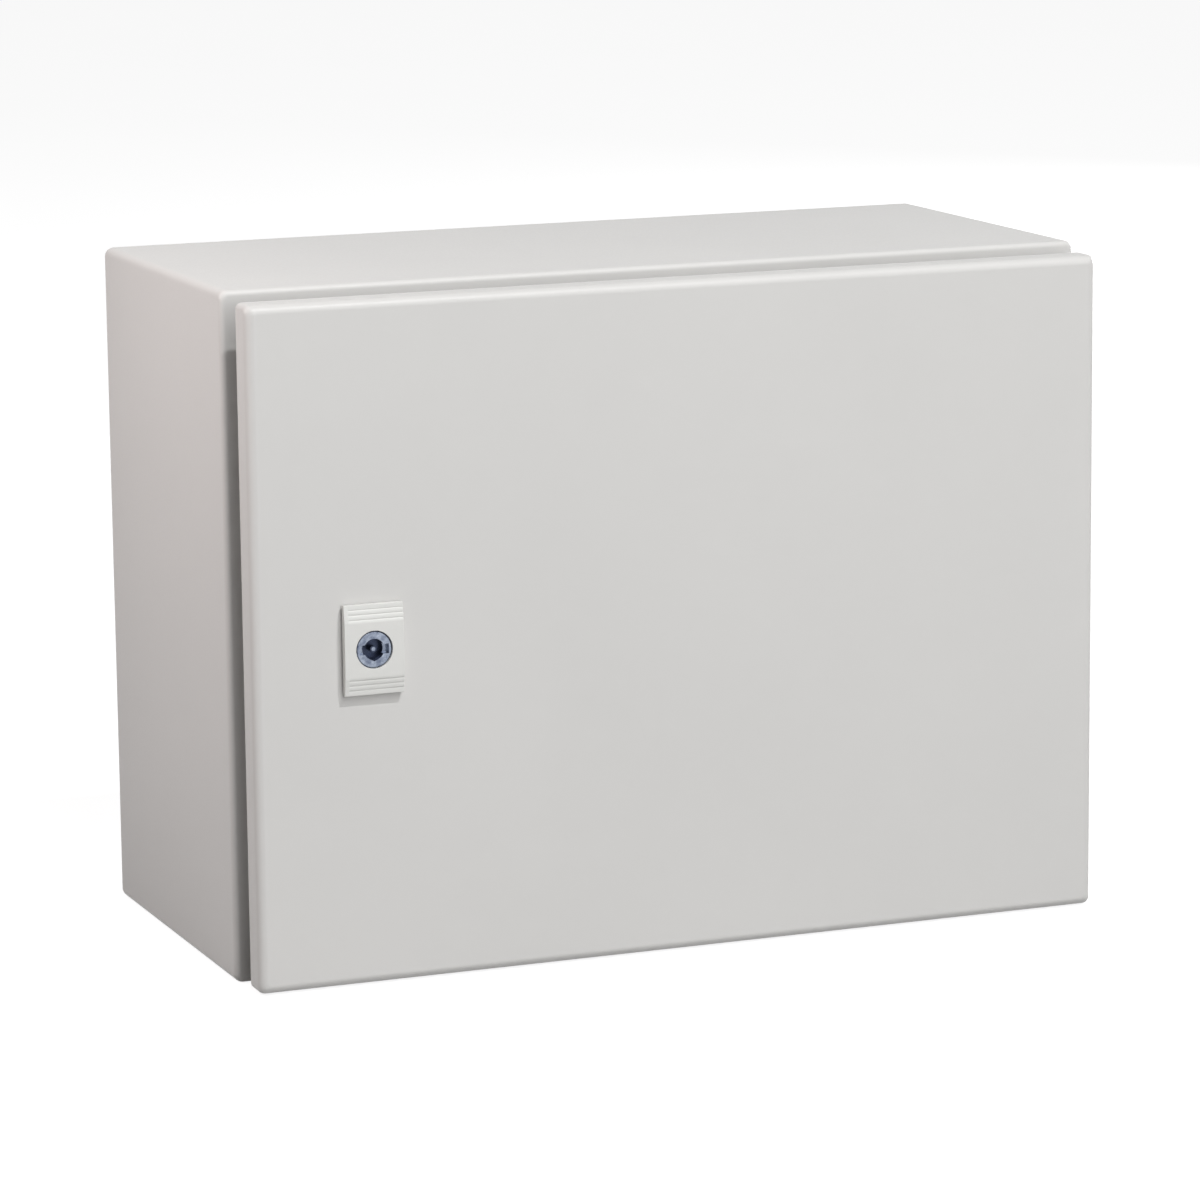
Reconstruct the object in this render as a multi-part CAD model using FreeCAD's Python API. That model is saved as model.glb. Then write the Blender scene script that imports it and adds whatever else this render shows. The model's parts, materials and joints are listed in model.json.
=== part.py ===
import FreeCAD, Part
import os
from math import radians, sqrt

# Steel wall enclosure. X runs to the right, Y towards the wall and Z up. The origin is on the
# wall plane, in the middle of the four wall holes, and the door faces -Y. Sizes are in
# millimetres. The body and the door are folded from sheet, the door turns on two concealed
# hinges at the right, and a quarter-turn lock holds it at the left.

Vector = FreeCAD.Vector

# Overall sizes
width = 400.0
height = 300.0
depth = 200.0  # wall plane to the front face of the door

# Sheet and its folds
sheet = 1.5
fold_inside = 1.0  # inside radius of each fold
fold_outside = fold_inside + sheet
wrap_radius = 4.0  # outside radius of the four edges that run from the wall to the door
rear_edge_radius = 3.5
rear_rim = 8.0  # depth of the rear panel's rolled rim

# Front of the body: a flange turned inwards, then a lip turned forwards
flange_width = 21.0  # side face to the inner face of the lip
opening_radius = 2.5
door_stand_off = 27.5  # front of the flange to the front of the door
drip_gap = 14.0  # front of the flange to the rear edge of the door's returns

# Door
door_side_inset = 2.5
door_top_inset = 3.5
door_bottom_inset = 1.0
door_corner_radius = 5.0
door_fold_inside = 2.5
door_fold_outside = door_fold_inside + sheet
seal_width = 9.0
seal_height = 8.0
seal_chamfer = 2.5
seal_corner_radius = 7.0  # at the middle of the bead
seal_gap = 0.3

# Hinges
hinge_from_end = 60.0  # top or bottom of the body to the middle of a hinge
hinge_inboard = 8.5  # right side of the body to the pin's axis
hinge_forward = 20.0  # front of the flange to the pin's axis
pin_radius = 2.0
pin_press_gap = 0.01
pin_running_gap = 0.06
pin_head_radius = 3.4
pin_head_height = 1.5
pin_tip_length = 2.0
knuckle_radius = 4.0
knuckle_height = 16.0
leaf_knuckle_height = 8.0
knuckle_gap = 0.3
arm_offset = 2.5  # pin's axis to the near face of the bracket's arm
arm_thickness = 2.0
arm_taper_start = 6.0  # pin's axis to where the arm starts to widen
foot_height = 30.0
foot_width = 10.5
foot_thickness = 2.5
foot_corner = 2.0
leaf_seal_gap = 1.0
leaf_height = 60.0
leaf_thickness = 2.0
leaf_corner = 2.0
leaf_screw_spacing = 48.0
notch_height = 37.0
notch_left = 5.0  # depth of return that stays beside a hinge

# Rear panel, wall holes and mounting plate
wall_hole_radius = 4.5
wall_hole_from_side = 25.0
wall_hole_from_end = 25.0
plate_from_side = 35.0
plate_from_end = 35.0
plate_thickness = 2.0
plate_corner = 3.0
plate_stud_from_edge = 15.0
plate_stand_off = 14.0
plate_shoulder_radius = 6.0

# Gland plate in the bottom
gland_cut_from_side = 88.0
gland_cut_from_wall = 50.0
gland_cut_from_flange = 32.5
gland_cut_corner = 8.0
gland_rim = 15.0
gland_sheet = 1.5
gasket_thickness = 2.5

# Fasteners
m4_radius = 2.0
m4_flats = 7.0
m4_nut_height = 3.2
m6_radius = 3.0
m6_flats = 10.0
m6_nut_height = 5.0
m6_washer_radius = 6.0
m6_washer_height = 1.6
m8_radius = 4.0
m8_flats = 13.0
m8_nut_height = 6.5
m8_washer_radius = 8.0
m8_washer_height = 1.6
thread_gap = 0.04
hole_gap = 0.4
thread_past_nut = 2.5
pin_tip_chamfer = 0.6

# Earth studs
earth_stud_from_side = 18.0
earth_stud_above_base = 70.0
door_earth_from_side = 137.5
door_earth_above_edge = 39.0
earth_collar_height = 4.0

# Lock
lock_from_door_edge = 52.6
lock_below_centre = 1.0
escutcheon_width = 26.5
escutcheon_height = 39.0
escutcheon_depth = 3.4
escutcheon_end_depth = 2.2
escutcheon_flat = 23.0  # height of the flat in its middle
escutcheon_corner = 1.4
escutcheon_softening = 0.4
escutcheon_front_wall = 1.6
grip_count = 3
grip_radius = 0.7
grip_sink = 0.35
lock_gasket_thickness = 0.8
lock_gasket_margin = 0.5
housing_radius = 10.0
housing_flat = 9.2  # axis to each flat of the barrel
housing_flange_radius = 11.5
housing_flange_height = 1.5
housing_length = 26.8
housing_gap = 0.2
lock_nut_flats = 24.0
lock_nut_thickness = 5.0
core_radius = 8.05
core_gap = 0.05
core_plate_gap = 0.15
core_face_sink = 0.6
core_step_depth = 19.6
core_tail_radius = 6.45
core_rim_chamfer = 0.5
key_cup_radius = 4.6
key_cup_depth = 6.0
key_cup_point = 5.1  # axis to the pointed bottom of the cup, which shows how the core is turned
key_pin_radius = 1.5
key_pin_sink = 1.0
key_slot_reach = 6.6
key_slot_width = 4.2
key_slot_depth = 2.5
cam_tail_sink = 0.2
cam_square = 8.0
cam_square_gap = 0.05
cam_thickness = 3.0
cam_reach = 42.0
cam_hub_radius = 11.0
cam_tip_width = 16.0
cam_tip_corner = 4.0
cam_gap = 0.5
cam_screw_length = 12.0
cam_screw_head_height = 4.0
cam_screw_end_gap = 1.0

# Planes and centres that follow from the sizes above
half_width = width / 2
half_height = height / 2
flange_y = -(depth - door_stand_off)
door_front_y = -depth
door_inner_y = door_front_y + sheet
door_rear_y = flange_y - drip_gap
door_width = width - 2 * door_side_inset
door_height = height - door_top_inset - door_bottom_inset
door_z = (door_bottom_inset - door_top_inset) / 2
opening_width = width - 2 * flange_width
opening_height = height - 2 * flange_width
seal_face_y = door_inner_y + seal_height
lip_tip_y = seal_face_y + seal_gap
pivot_x = half_width - hinge_inboard
pivot_y = flange_y - hinge_forward
rear_inner_y = -sheet
floor_z = -half_height + sheet
gasket_face_y = door_front_y - lock_gasket_thickness
door_left_x = -door_width / 2
door_low_z = door_z - door_height / 2
lock_x = door_left_x + lock_from_door_edge
lock_z = door_z - lock_below_centre
cam_front_y = flange_y + sheet + cam_gap
seal_middle_width = opening_width + sheet
seal_middle_height = opening_height + sheet
leaf_left_x = seal_middle_width / 2 + seal_width / 2 + leaf_seal_gap
leaf_right_x = door_width / 2 - door_fold_outside
leaf_x = (leaf_left_x + leaf_right_x) / 2
hinge_z = half_height - hinge_from_end
plate_width = width - 2 * plate_from_side
plate_height = height - 2 * plate_from_end
gland_cut_width = width - 2 * gland_cut_from_side
gland_cut_depth = depth - door_stand_off - gland_cut_from_wall - gland_cut_from_flange
near = 0.01

solids = {}


def round_rect(size_x, size_y, radius):
    """Flat face about the origin with rounded corners."""
    arcs = []
    signs = ((1, 1), (-1, 1), (-1, -1), (1, -1))
    for number, (sign_x, sign_y) in enumerate(signs):
        centre = Vector(sign_x * (size_x / 2 - radius), sign_y * (size_y / 2 - radius), 0)
        circle = Part.Circle(centre, Vector(0, 0, 1), radius)
        arcs.append(Part.ArcOfCircle(circle, radians(90 * number), radians(90 * number + 90)))
    edges = []
    for number, arc in enumerate(arcs):
        following = arcs[(number + 1) % len(arcs)]
        edges.append(arc.toShape())
        edges.append(Part.LineSegment(arc.EndPoint, following.StartPoint).toShape())
    return Part.Face(Part.Wire(edges))


def upright(size_x, size_z, radius, y_front, y_back, x=0.0, z=0.0):
    """Prism with a rounded outline that runs along Y."""
    face = round_rect(size_x, size_z, radius)
    face.rotate(Vector(0, 0, 0), Vector(1, 0, 0), 90)
    face.translate(Vector(x, y_front, z))
    return face.extrude(Vector(0, y_back - y_front, 0))


def level(size_x, size_y, radius, z_low, z_high, x, y):
    """Prism with a rounded outline that runs along Z."""
    face = round_rect(size_x, size_y, radius)
    face.translate(Vector(x, y, z_low))
    return face.extrude(Vector(0, 0, z_high - z_low))


def block(x_low, x_high, y_low, y_high, z_low, z_high):
    """Plain block between two corners."""
    size = (x_high - x_low, y_high - y_low, z_high - z_low)
    return Part.makeBox(*size, Vector(x_low, y_low, z_low))


def rod(radius, start, along, length):
    """Cylinder from a point, in a direction."""
    return Part.makeCylinder(radius, length, start, along)


def turned(profile, start, along):
    """Solid of revolution: the profile is a list of (radius, distance along the axis)."""
    points = [Vector(radius, 0, distance) for radius, distance in profile]
    face = Part.Face(Part.makePolygon(points + points[:1]))
    solid = face.revolve(Vector(0, 0, 0), Vector(0, 0, 1), 360)
    solid.Placement = FreeCAD.Placement(start, FreeCAD.Rotation(Vector(0, 0, 1), along))
    return solid


def rim_edges(shape, y, size_x, size_z, z=0.0):
    """Edges of a rounded outline of this size that lie in the plane at y."""
    chosen = []
    for edge in shape.Edges:
        box = edge.BoundBox
        flat = abs(box.YMin - y) < near and abs(box.YMax - y) < near
        reach_x = max(abs(box.XMin), abs(box.XMax))
        reach_z = max(abs(box.ZMin - z), abs(box.ZMax - z))
        on_outline = abs(reach_x - size_x / 2) < near or abs(reach_z - size_z / 2) < near
        if flat and on_outline:
            chosen.append(edge)
    return chosen


def corners(spacing_x, spacing_z):
    """The four (x, z) corners of a rectangle about the middle."""
    places = []
    for sign_x in (-1, 1):
        for sign_z in (-1, 1):
            places.append((sign_x * spacing_x / 2, sign_z * spacing_z / 2))
    return places


def folded_pan(size_x, size_z, radius, y_front, y_back, edge_radius, z=0.0):
    """Sheet pan that is open at y_back, with its closed face at y_front."""
    direction = 1 if y_back > y_front else -1
    outer = upright(size_x, size_z, radius, y_front, y_back, z=z)
    outer = outer.makeFillet(edge_radius, rim_edges(outer, y_front, size_x, size_z, z))
    inner_x = size_x - 2 * sheet
    inner_z = size_z - 2 * sheet
    inner_face_y = y_front + direction * sheet
    inner = upright(inner_x, inner_z, radius - sheet, inner_face_y, y_back, z=z)
    inner = inner.makeFillet(edge_radius - sheet, rim_edges(inner, inner_face_y, inner_x, inner_z, z))
    return outer.cut(inner)


def washer(thread_radius, outer_radius, thickness, start, along):
    """Flat washer round a thread."""
    disc = rod(outer_radius, start, along, thickness)
    return disc.cut(rod(thread_radius + hole_gap, start, along, thickness))


def hex_blank(flats, thickness, start, along):
    """Hexagonal prism from a point, in a direction."""
    corner = flats / sqrt(3)
    points = [Vector(corner, 0, 0)]
    turn = FreeCAD.Rotation(Vector(0, 0, 1), 60)
    for _ in range(5):
        points.append(turn.multVec(points[-1]))
    face = Part.Face(Part.makePolygon(points + points[:1]))
    blank = face.extrude(Vector(0, 0, thickness))
    blank.Placement = FreeCAD.Placement(start, FreeCAD.Rotation(Vector(0, 0, 1), along))
    return blank


def nut(thread_radius, flats, thickness, start, along):
    """Hexagon nut round a thread."""
    blank = hex_blank(flats, thickness, start, along)
    return blank.cut(rod(thread_radius + thread_gap, start, along, thickness))


def m6_nut(start, along):
    """M6 nut."""
    return nut(m6_radius, m6_flats, m6_nut_height, start, along)


def m6_washer(start, along):
    """M6 washer."""
    return washer(m6_radius, m6_washer_radius, m6_washer_height, start, along)


def make_body_wrap():
    """Top, bottom and sides in one sheet, with the flange, the lip and the gland cut-out."""
    wrap = folded_pan(width, height, wrap_radius, flange_y, -rear_rim, fold_outside)
    lip_width = opening_width + 2 * sheet
    lip_height = opening_height + 2 * sheet
    lip_radius = opening_radius + sheet
    flange_rear_y = flange_y + sheet
    lip = upright(lip_width, lip_height, lip_radius, lip_tip_y, flange_rear_y)
    wrap = wrap.fuse(lip)
    wrap = wrap.cut(upright(opening_width, opening_height, opening_radius, lip_tip_y, flange_rear_y))
    wrap = wrap.removeSplitter()
    wrap = wrap.makeFillet(fold_inside, rim_edges(wrap, flange_y, lip_width, lip_height))
    inner_fold = rim_edges(wrap, flange_rear_y, opening_width, opening_height)
    wrap = wrap.makeFillet(fold_outside, inner_fold)
    cut_out = level(gland_cut_width, gland_cut_depth, gland_cut_corner,
                    -half_height, floor_z, 0.0, -(gland_cut_from_wall + gland_cut_depth / 2))
    return wrap.cut(cut_out)


def make_rear_panel():
    """Pressed rear panel with a rolled rim that is welded to the wrap."""
    panel = folded_pan(width, height, wrap_radius, 0.0, -rear_rim, rear_edge_radius)
    spacing_x = width - 2 * wall_hole_from_side
    spacing_z = height - 2 * wall_hole_from_end
    for x, z in corners(spacing_x, spacing_z):
        panel = panel.cut(rod(wall_hole_radius, Vector(x, -sheet, z), Vector(0, 1, 0), sheet))
    return panel


def make_plate_fixing():
    """Mounting plate on its four shouldered studs, with washers and nuts."""
    out = Vector(0, -1, 0)
    plate_rear_y = rear_inner_y - plate_stand_off
    plate_front_y = plate_rear_y - plate_thickness
    plate = upright(plate_width, plate_height, plate_corner, plate_front_y, plate_rear_y)
    nut_y = plate_front_y - m8_washer_height
    tip = rear_inner_y - (nut_y - m8_nut_height - thread_past_nut)
    profile = [(0, 0), (plate_shoulder_radius, 0), (plate_shoulder_radius, plate_stand_off)]
    profile += [(m8_radius, plate_stand_off), (m8_radius, tip), (0, tip)]
    studs = []
    washers = []
    nuts = []
    spacing_x = plate_width - 2 * plate_stud_from_edge
    spacing_z = plate_height - 2 * plate_stud_from_edge
    for x, z in corners(spacing_x, spacing_z):
        studs.append(turned(profile, Vector(x, rear_inner_y, z), out))
        washers.append(washer(m8_radius, m8_washer_radius, m8_washer_height,
                              Vector(x, plate_front_y, z), out))
        nuts.append(nut(m8_radius, m8_flats, m8_nut_height, Vector(x, nut_y, z), out))
        plate = plate.cut(rod(m8_radius + hole_gap, Vector(x, plate_front_y, z),
                              Vector(0, 1, 0), plate_thickness))
    solids["mounting_plate"] = plate
    solids["plate_studs"] = Part.makeCompound(studs)
    solids["plate_washers"] = Part.makeCompound(washers)
    solids["plate_nuts"] = Part.makeCompound(nuts)


def make_gland_plate():
    """Blank gland plate on its gasket, held by studs and nuts round the cut-out."""
    up = Vector(0, 0, 1)
    outer_width = gland_cut_width + 2 * gland_rim
    outer_depth = gland_cut_depth + 2 * gland_rim
    outer_corner = gland_cut_corner + gland_rim / 2
    plate_low_z = floor_z + gasket_thickness
    plate_high_z = plate_low_z + gland_sheet
    centre_y = -(gland_cut_from_wall + gland_cut_depth / 2)
    plate = level(outer_width, outer_depth, outer_corner, plate_low_z, plate_high_z, 0.0, centre_y)
    gasket = level(outer_width, outer_depth, outer_corner, floor_z, plate_low_z, 0.0, centre_y)
    gasket = gasket.cut(level(gland_cut_width, gland_cut_depth, gland_cut_corner,
                              floor_z, plate_low_z, 0.0, centre_y))
    length = gasket_thickness + gland_sheet + m6_nut_height + thread_past_nut
    studs = []
    nuts = []
    for step_x in (-1, 0, 1):
        for side_y in (-1, 1):
            x = step_x * (gland_cut_width + gland_rim) / 2
            y = centre_y + side_y * (gland_cut_depth + gland_rim) / 2
            hole = rod(m6_radius + hole_gap, Vector(x, y, floor_z), up, plate_high_z - floor_z)
            plate = plate.cut(hole)
            gasket = gasket.cut(hole)
            studs.append(rod(m6_radius, Vector(x, y, floor_z), up, length))
            nuts.append(m6_nut(Vector(x, y, plate_high_z), up))
    solids["gland_plate"] = plate
    solids["gland_gasket"] = gasket
    solids["gland_studs"] = Part.makeCompound(studs)
    solids["gland_nuts"] = Part.makeCompound(nuts)


def make_earth_point(name, start, along):
    """Weld stud with a collar that the wire's lug sits on, a washer and a nut."""
    length = earth_collar_height + m6_washer_height + m6_nut_height + thread_past_nut
    washer_start = start + along * earth_collar_height
    nut_start = washer_start + along * m6_washer_height
    profile = [(0, 0), (m6_washer_radius, 0), (m6_washer_radius, earth_collar_height)]
    profile += [(m6_radius, earth_collar_height), (m6_radius, length), (0, length)]
    solids[name + "_earth_stud"] = turned(profile, start, along)
    solids[name + "_earth_washer"] = m6_washer(washer_start, along)
    solids[name + "_earth_nut"] = m6_nut(nut_start, along)


def make_hinge_bracket(z):
    """Body half of a hinge: a foot welded to the flange, an arm and one knuckle."""
    half_knuckle = knuckle_height / 2
    half_foot = foot_height / 2
    foot_front_y = flange_y - foot_thickness
    arm_left = pivot_x - arm_offset - arm_thickness
    outline = [(pivot_y, half_knuckle), (pivot_y + arm_taper_start, half_knuckle)]
    outline += [(foot_front_y, half_foot), (flange_y, half_foot)]
    points = [Vector(arm_left, y, z + half) for y, half in outline]
    points += [Vector(arm_left, y, z - half) for y, half in reversed(outline)]
    arm = Part.Face(Part.makePolygon(points + points[:1])).extrude(Vector(arm_thickness, 0, 0))
    foot = upright(foot_width, foot_height, foot_corner, foot_front_y, flange_y,
                   x=arm_left + foot_width / 2, z=z)
    low = Vector(pivot_x, pivot_y, z - half_knuckle)
    knuckle = rod(knuckle_radius, low, Vector(0, 0, 1), knuckle_height)
    bracket = arm.fuse([foot, knuckle]).removeSplitter()
    return bracket.cut(rod(pin_radius + pin_press_gap, low, Vector(0, 0, 1), knuckle_height))


def make_hinge_leaf(z):
    """Door half of a hinge: a plate inside the door with two knuckles on lugs."""
    up = Vector(0, 0, 1)
    first = knuckle_height / 2 + knuckle_gap
    leaf_front_y = door_inner_y
    leaf_rear_y = leaf_front_y + leaf_thickness
    leaf = upright(leaf_right_x - leaf_left_x, leaf_height, leaf_corner, leaf_front_y,
                   leaf_rear_y, x=leaf_x, z=z)
    for low_z in (z + first, z - first - leaf_knuckle_height):
        low = Vector(pivot_x, pivot_y, low_z)
        lug = block(pivot_x - knuckle_radius, pivot_x + knuckle_radius,
                    leaf_rear_y, pivot_y, low_z, low_z + leaf_knuckle_height)
        leaf = leaf.fuse([lug, rod(knuckle_radius, low, up, leaf_knuckle_height)])
        leaf = leaf.cut(rod(pin_radius + pin_running_gap, low, up, leaf_knuckle_height))
    for side in (-1, 1):
        start = Vector(leaf_x, leaf_front_y, z + side * leaf_screw_spacing / 2)
        leaf = leaf.cut(rod(m4_radius + hole_gap, start, Vector(0, 1, 0), leaf_thickness))
    return leaf.removeSplitter()


def make_hinge_pin(z):
    """Headed pin, pressed into the bracket's knuckle."""
    reach = knuckle_height / 2 + knuckle_gap + leaf_knuckle_height
    head_low = 2 * reach + knuckle_gap + pin_tip_length
    head_top = head_low + pin_head_height
    profile = [(0, 0), (pin_radius - pin_tip_chamfer, 0), (pin_radius, pin_tip_chamfer)]
    profile += [(pin_radius, head_low), (pin_head_radius, head_low)]
    profile += [(pin_head_radius, head_top), (0, head_top)]
    start = Vector(pivot_x, pivot_y, z - reach - pin_tip_length)
    return turned(profile, start, Vector(0, 0, 1))


def make_hinges():
    """Both hinges, with the studs and nuts that hold their leaves to the door."""
    studs = []
    nuts = []
    length = leaf_thickness + m4_nut_height + thread_past_nut
    back = Vector(0, 1, 0)
    for name, z in (("upper", hinge_z), ("lower", -hinge_z)):
        solids[name + "_hinge_bracket"] = make_hinge_bracket(z)
        solids[name + "_hinge_leaf"] = make_hinge_leaf(z)
        solids[name + "_hinge_pin"] = make_hinge_pin(z)
        for side in (-1, 1):
            start = Vector(leaf_x, door_inner_y, z + side * leaf_screw_spacing / 2)
            studs.append(rod(m4_radius, start, back, length))
            nuts.append(nut(m4_radius, m4_flats, m4_nut_height, start + back * leaf_thickness, back))
    solids["leaf_studs"] = Part.makeCompound(studs)
    solids["leaf_nuts"] = Part.makeCompound(nuts)


def flatted_rod(radius, flat, y_front, y_back):
    """Barrel along Y at the lock, with a flat at each side."""
    barrel = rod(radius, Vector(lock_x, y_front, lock_z), Vector(0, 1, 0), y_back - y_front)
    return barrel.common(block(lock_x - flat, lock_x + flat, y_front, y_back,
                               lock_z - radius, lock_z + radius))


def make_door_panel():
    """Door sheet with four returns, cut away beside the hinges and pierced for the lock."""
    door = folded_pan(door_width, door_height, door_corner_radius, door_front_y, door_rear_y,
                      door_fold_outside, z=door_z)
    door_right = door_width / 2
    for side in (-1, 1):
        z = side * hinge_z
        door = door.cut(block(door_right - sheet - near, door_right + near,
                              door_front_y + notch_left, door_rear_y,
                              z - notch_height / 2, z + notch_height / 2))
    return door.cut(flatted_rod(housing_radius + housing_gap, housing_flat + housing_gap,
                                door_front_y, door_inner_y))


def make_door_seal():
    """Foamed ring on the door that the lip presses into."""
    sizes = []
    for side in (1, -1):
        sizes.append((seal_middle_width + side * seal_width,
                      seal_middle_height + side * seal_width,
                      seal_corner_radius + side * seal_width / 2))
    outer, inner = [upright(*size, door_inner_y, seal_face_y) for size in sizes]
    ring = outer.cut(inner)
    edges = []
    for size_x, size_z, _ in sizes:
        edges += rim_edges(ring, seal_face_y, size_x, size_z)
    return ring.makeChamfer(seal_chamfer, edges)


def make_escutcheon():
    """Plastic plate round the lock, sloped at both ends and ribbed there for grip."""
    half = escutcheon_height / 2
    flat = escutcheon_flat / 2
    outline = [(-half, 0), (half, 0), (half, escutcheon_end_depth), (flat, escutcheon_depth)]
    outline += [(-flat, escutcheon_depth), (-half, escutcheon_end_depth)]
    left = lock_x - escutcheon_width / 2
    points = [Vector(left, gasket_face_y - out, lock_z + up) for up, out in outline]
    plate = Part.Face(Part.makePolygon(points + points[:1])).extrude(Vector(escutcheon_width, 0, 0))
    front_y = gasket_face_y - escutcheon_depth
    plate = plate.common(upright(escutcheon_width, escutcheon_height, escutcheon_corner,
                                 front_y, gasket_face_y, x=lock_x, z=lock_z))
    outer_edges = [edge for edge in plate.Edges if edge.BoundBox.YMax < gasket_face_y - near]
    plate = plate.makeChamfer(escutcheon_softening, outer_edges)
    run = half - flat
    rise = escutcheon_depth - escutcheon_end_depth
    slope = sqrt(run * run + rise * rise)
    lift = grip_radius - grip_sink
    for end in (-1, 1):
        for number in range(grip_count):
            share = (number + 1) / (grip_count + 1)
            up = half - run * share + lift * rise / slope
            out = escutcheon_end_depth + rise * share + lift * run / slope
            start = Vector(left, gasket_face_y - out, lock_z + end * up)
            plate = plate.cut(rod(grip_radius, start, Vector(1, 0, 0), escutcheon_width))
    back = Vector(0, 1, 0)
    centre = Vector(lock_x, front_y, lock_z)
    plate = plate.cut(rod(core_radius + core_plate_gap, centre, back, escutcheon_depth))
    collar_start = centre + back * escutcheon_front_wall
    collar_room = escutcheon_depth - escutcheon_front_wall
    plate = plate.cut(rod(housing_radius + housing_gap, collar_start, back, collar_room))
    flange_start = centre + back * (escutcheon_depth - housing_flange_height)
    return plate.cut(rod(housing_flange_radius + housing_gap, flange_start, back,
                         housing_flange_height))


def make_lock():
    """Lock housing, its gasket and nut, and the core that turns with its cam."""
    back = Vector(0, 1, 0)
    solids["lock_escutcheon"] = make_escutcheon()
    gasket_width = escutcheon_width - 2 * lock_gasket_margin
    gasket_height = escutcheon_height - 2 * lock_gasket_margin
    gasket = upright(gasket_width, gasket_height, escutcheon_corner,
                     gasket_face_y, door_front_y, x=lock_x, z=lock_z)
    solids["lock_gasket"] = gasket.cut(flatted_rod(housing_radius + housing_gap,
                                                   housing_flat + housing_gap,
                                                   gasket_face_y, door_front_y))
    collar_front_y = gasket_face_y - escutcheon_depth + escutcheon_front_wall
    flange_front_y = gasket_face_y - housing_flange_height
    barrel_rear_y = gasket_face_y + housing_length
    core_front_y = gasket_face_y - escutcheon_depth + core_face_sink
    core_step_y = core_front_y + core_step_depth
    housing = flatted_rod(housing_radius, housing_flat, gasket_face_y, barrel_rear_y)
    collar = rod(housing_radius, Vector(lock_x, collar_front_y, lock_z), back,
                 flange_front_y - collar_front_y)
    flange = rod(housing_flange_radius, Vector(lock_x, flange_front_y, lock_z), back,
                 housing_flange_height)
    housing = housing.fuse([collar, flange]).removeSplitter()
    wide_bore_end_y = core_step_y + housing_gap
    housing = housing.cut(rod(core_radius + core_gap, Vector(lock_x, collar_front_y, lock_z),
                              back, wide_bore_end_y - collar_front_y))
    solids["lock_housing"] = housing.cut(rod(core_tail_radius + core_gap,
                                             Vector(lock_x, wide_bore_end_y, lock_z), back,
                                             barrel_rear_y - wide_bore_end_y))
    nut_start = Vector(lock_x, door_inner_y, lock_z)
    lock_nut = hex_blank(lock_nut_flats, lock_nut_thickness, nut_start, back)
    solids["lock_nut"] = lock_nut.cut(rod(housing_radius + thread_gap, nut_start, back,
                                          lock_nut_thickness))
    solids["lock_insert"] = make_lock_insert(core_front_y)
    make_cam()


def make_lock_insert(core_front_y):
    """Turning core: a cup with a pin and two side slots for the key, and a square tail."""
    back = Vector(0, 1, 0)
    start = Vector(lock_x, core_front_y, lock_z)
    shoulder = cam_front_y - core_front_y
    profile = [(0, 0), (core_radius - core_rim_chamfer, 0), (core_radius, core_rim_chamfer)]
    profile += [(core_radius, core_step_depth), (core_tail_radius, core_step_depth)]
    profile += [(core_tail_radius, shoulder), (0, shoulder)]
    core = turned(profile, start, back)
    half = cam_square / 2
    tail_end_y = cam_front_y + cam_thickness - cam_tail_sink
    tail = block(lock_x - half, lock_x + half, cam_front_y, tail_end_y, lock_z - half, lock_z + half)
    core = core.fuse(tail).cut(rod(key_cup_radius, start, back, key_cup_depth))
    side = key_cup_radius * sqrt(1 - (key_cup_radius / key_cup_point) ** 2)
    low = key_cup_radius ** 2 / key_cup_point
    outline = [(0, 0), (side, -low), (0, -key_cup_point), (-side, -low)]
    points = [Vector(lock_x + x, core_front_y, lock_z + z) for x, z in outline]
    point = Part.Face(Part.makePolygon(points + points[:1])).extrude(back * key_cup_depth)
    slots = block(lock_x - key_slot_reach, lock_x + key_slot_reach,
                  core_front_y, core_front_y + key_slot_depth,
                  lock_z - key_slot_width / 2, lock_z + key_slot_width / 2)
    core = core.cut([point, slots])
    pin_front_y = core_front_y + key_pin_sink
    cup_floor_y = core_front_y + key_cup_depth
    pin = rod(key_pin_radius, Vector(lock_x, pin_front_y, lock_z), back, cup_floor_y - pin_front_y)
    core = core.fuse(pin).removeSplitter()
    hole_start_y = cam_front_y + cam_thickness - cam_screw_length
    return core.cut(rod(m6_radius + thread_gap, Vector(lock_x, hole_start_y, lock_z), back,
                        tail_end_y - hole_start_y))


def make_cam():
    """Cam that hangs down when unlocked, with its screw and washer."""
    back = Vector(0, 1, 0)
    cam_rear_y = cam_front_y + cam_thickness
    hub = rod(cam_hub_radius, Vector(lock_x, cam_front_y, lock_z), back, cam_thickness)
    tongue = upright(cam_tip_width, cam_reach, cam_tip_corner, cam_front_y, cam_rear_y,
                     x=lock_x, z=lock_z - cam_reach / 2)
    cam = hub.fuse(tongue).removeSplitter()
    half = cam_square / 2 + cam_square_gap
    solids["lock_cam"] = cam.cut(block(lock_x - half, lock_x + half, cam_front_y, cam_rear_y,
                                       lock_z - half, lock_z + half))
    washer_start = Vector(lock_x, cam_rear_y, lock_z)
    solids["cam_washer"] = m6_washer(washer_start, back)
    head_start = washer_start + back * m6_washer_height
    shank_length = cam_screw_length - cam_screw_end_gap + m6_washer_height
    shank = rod(m6_radius, head_start - back * shank_length, back, shank_length)
    head = hex_blank(m6_flats, cam_screw_head_height, head_start, back)
    solids["cam_screw"] = head.fuse(shank)


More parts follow.
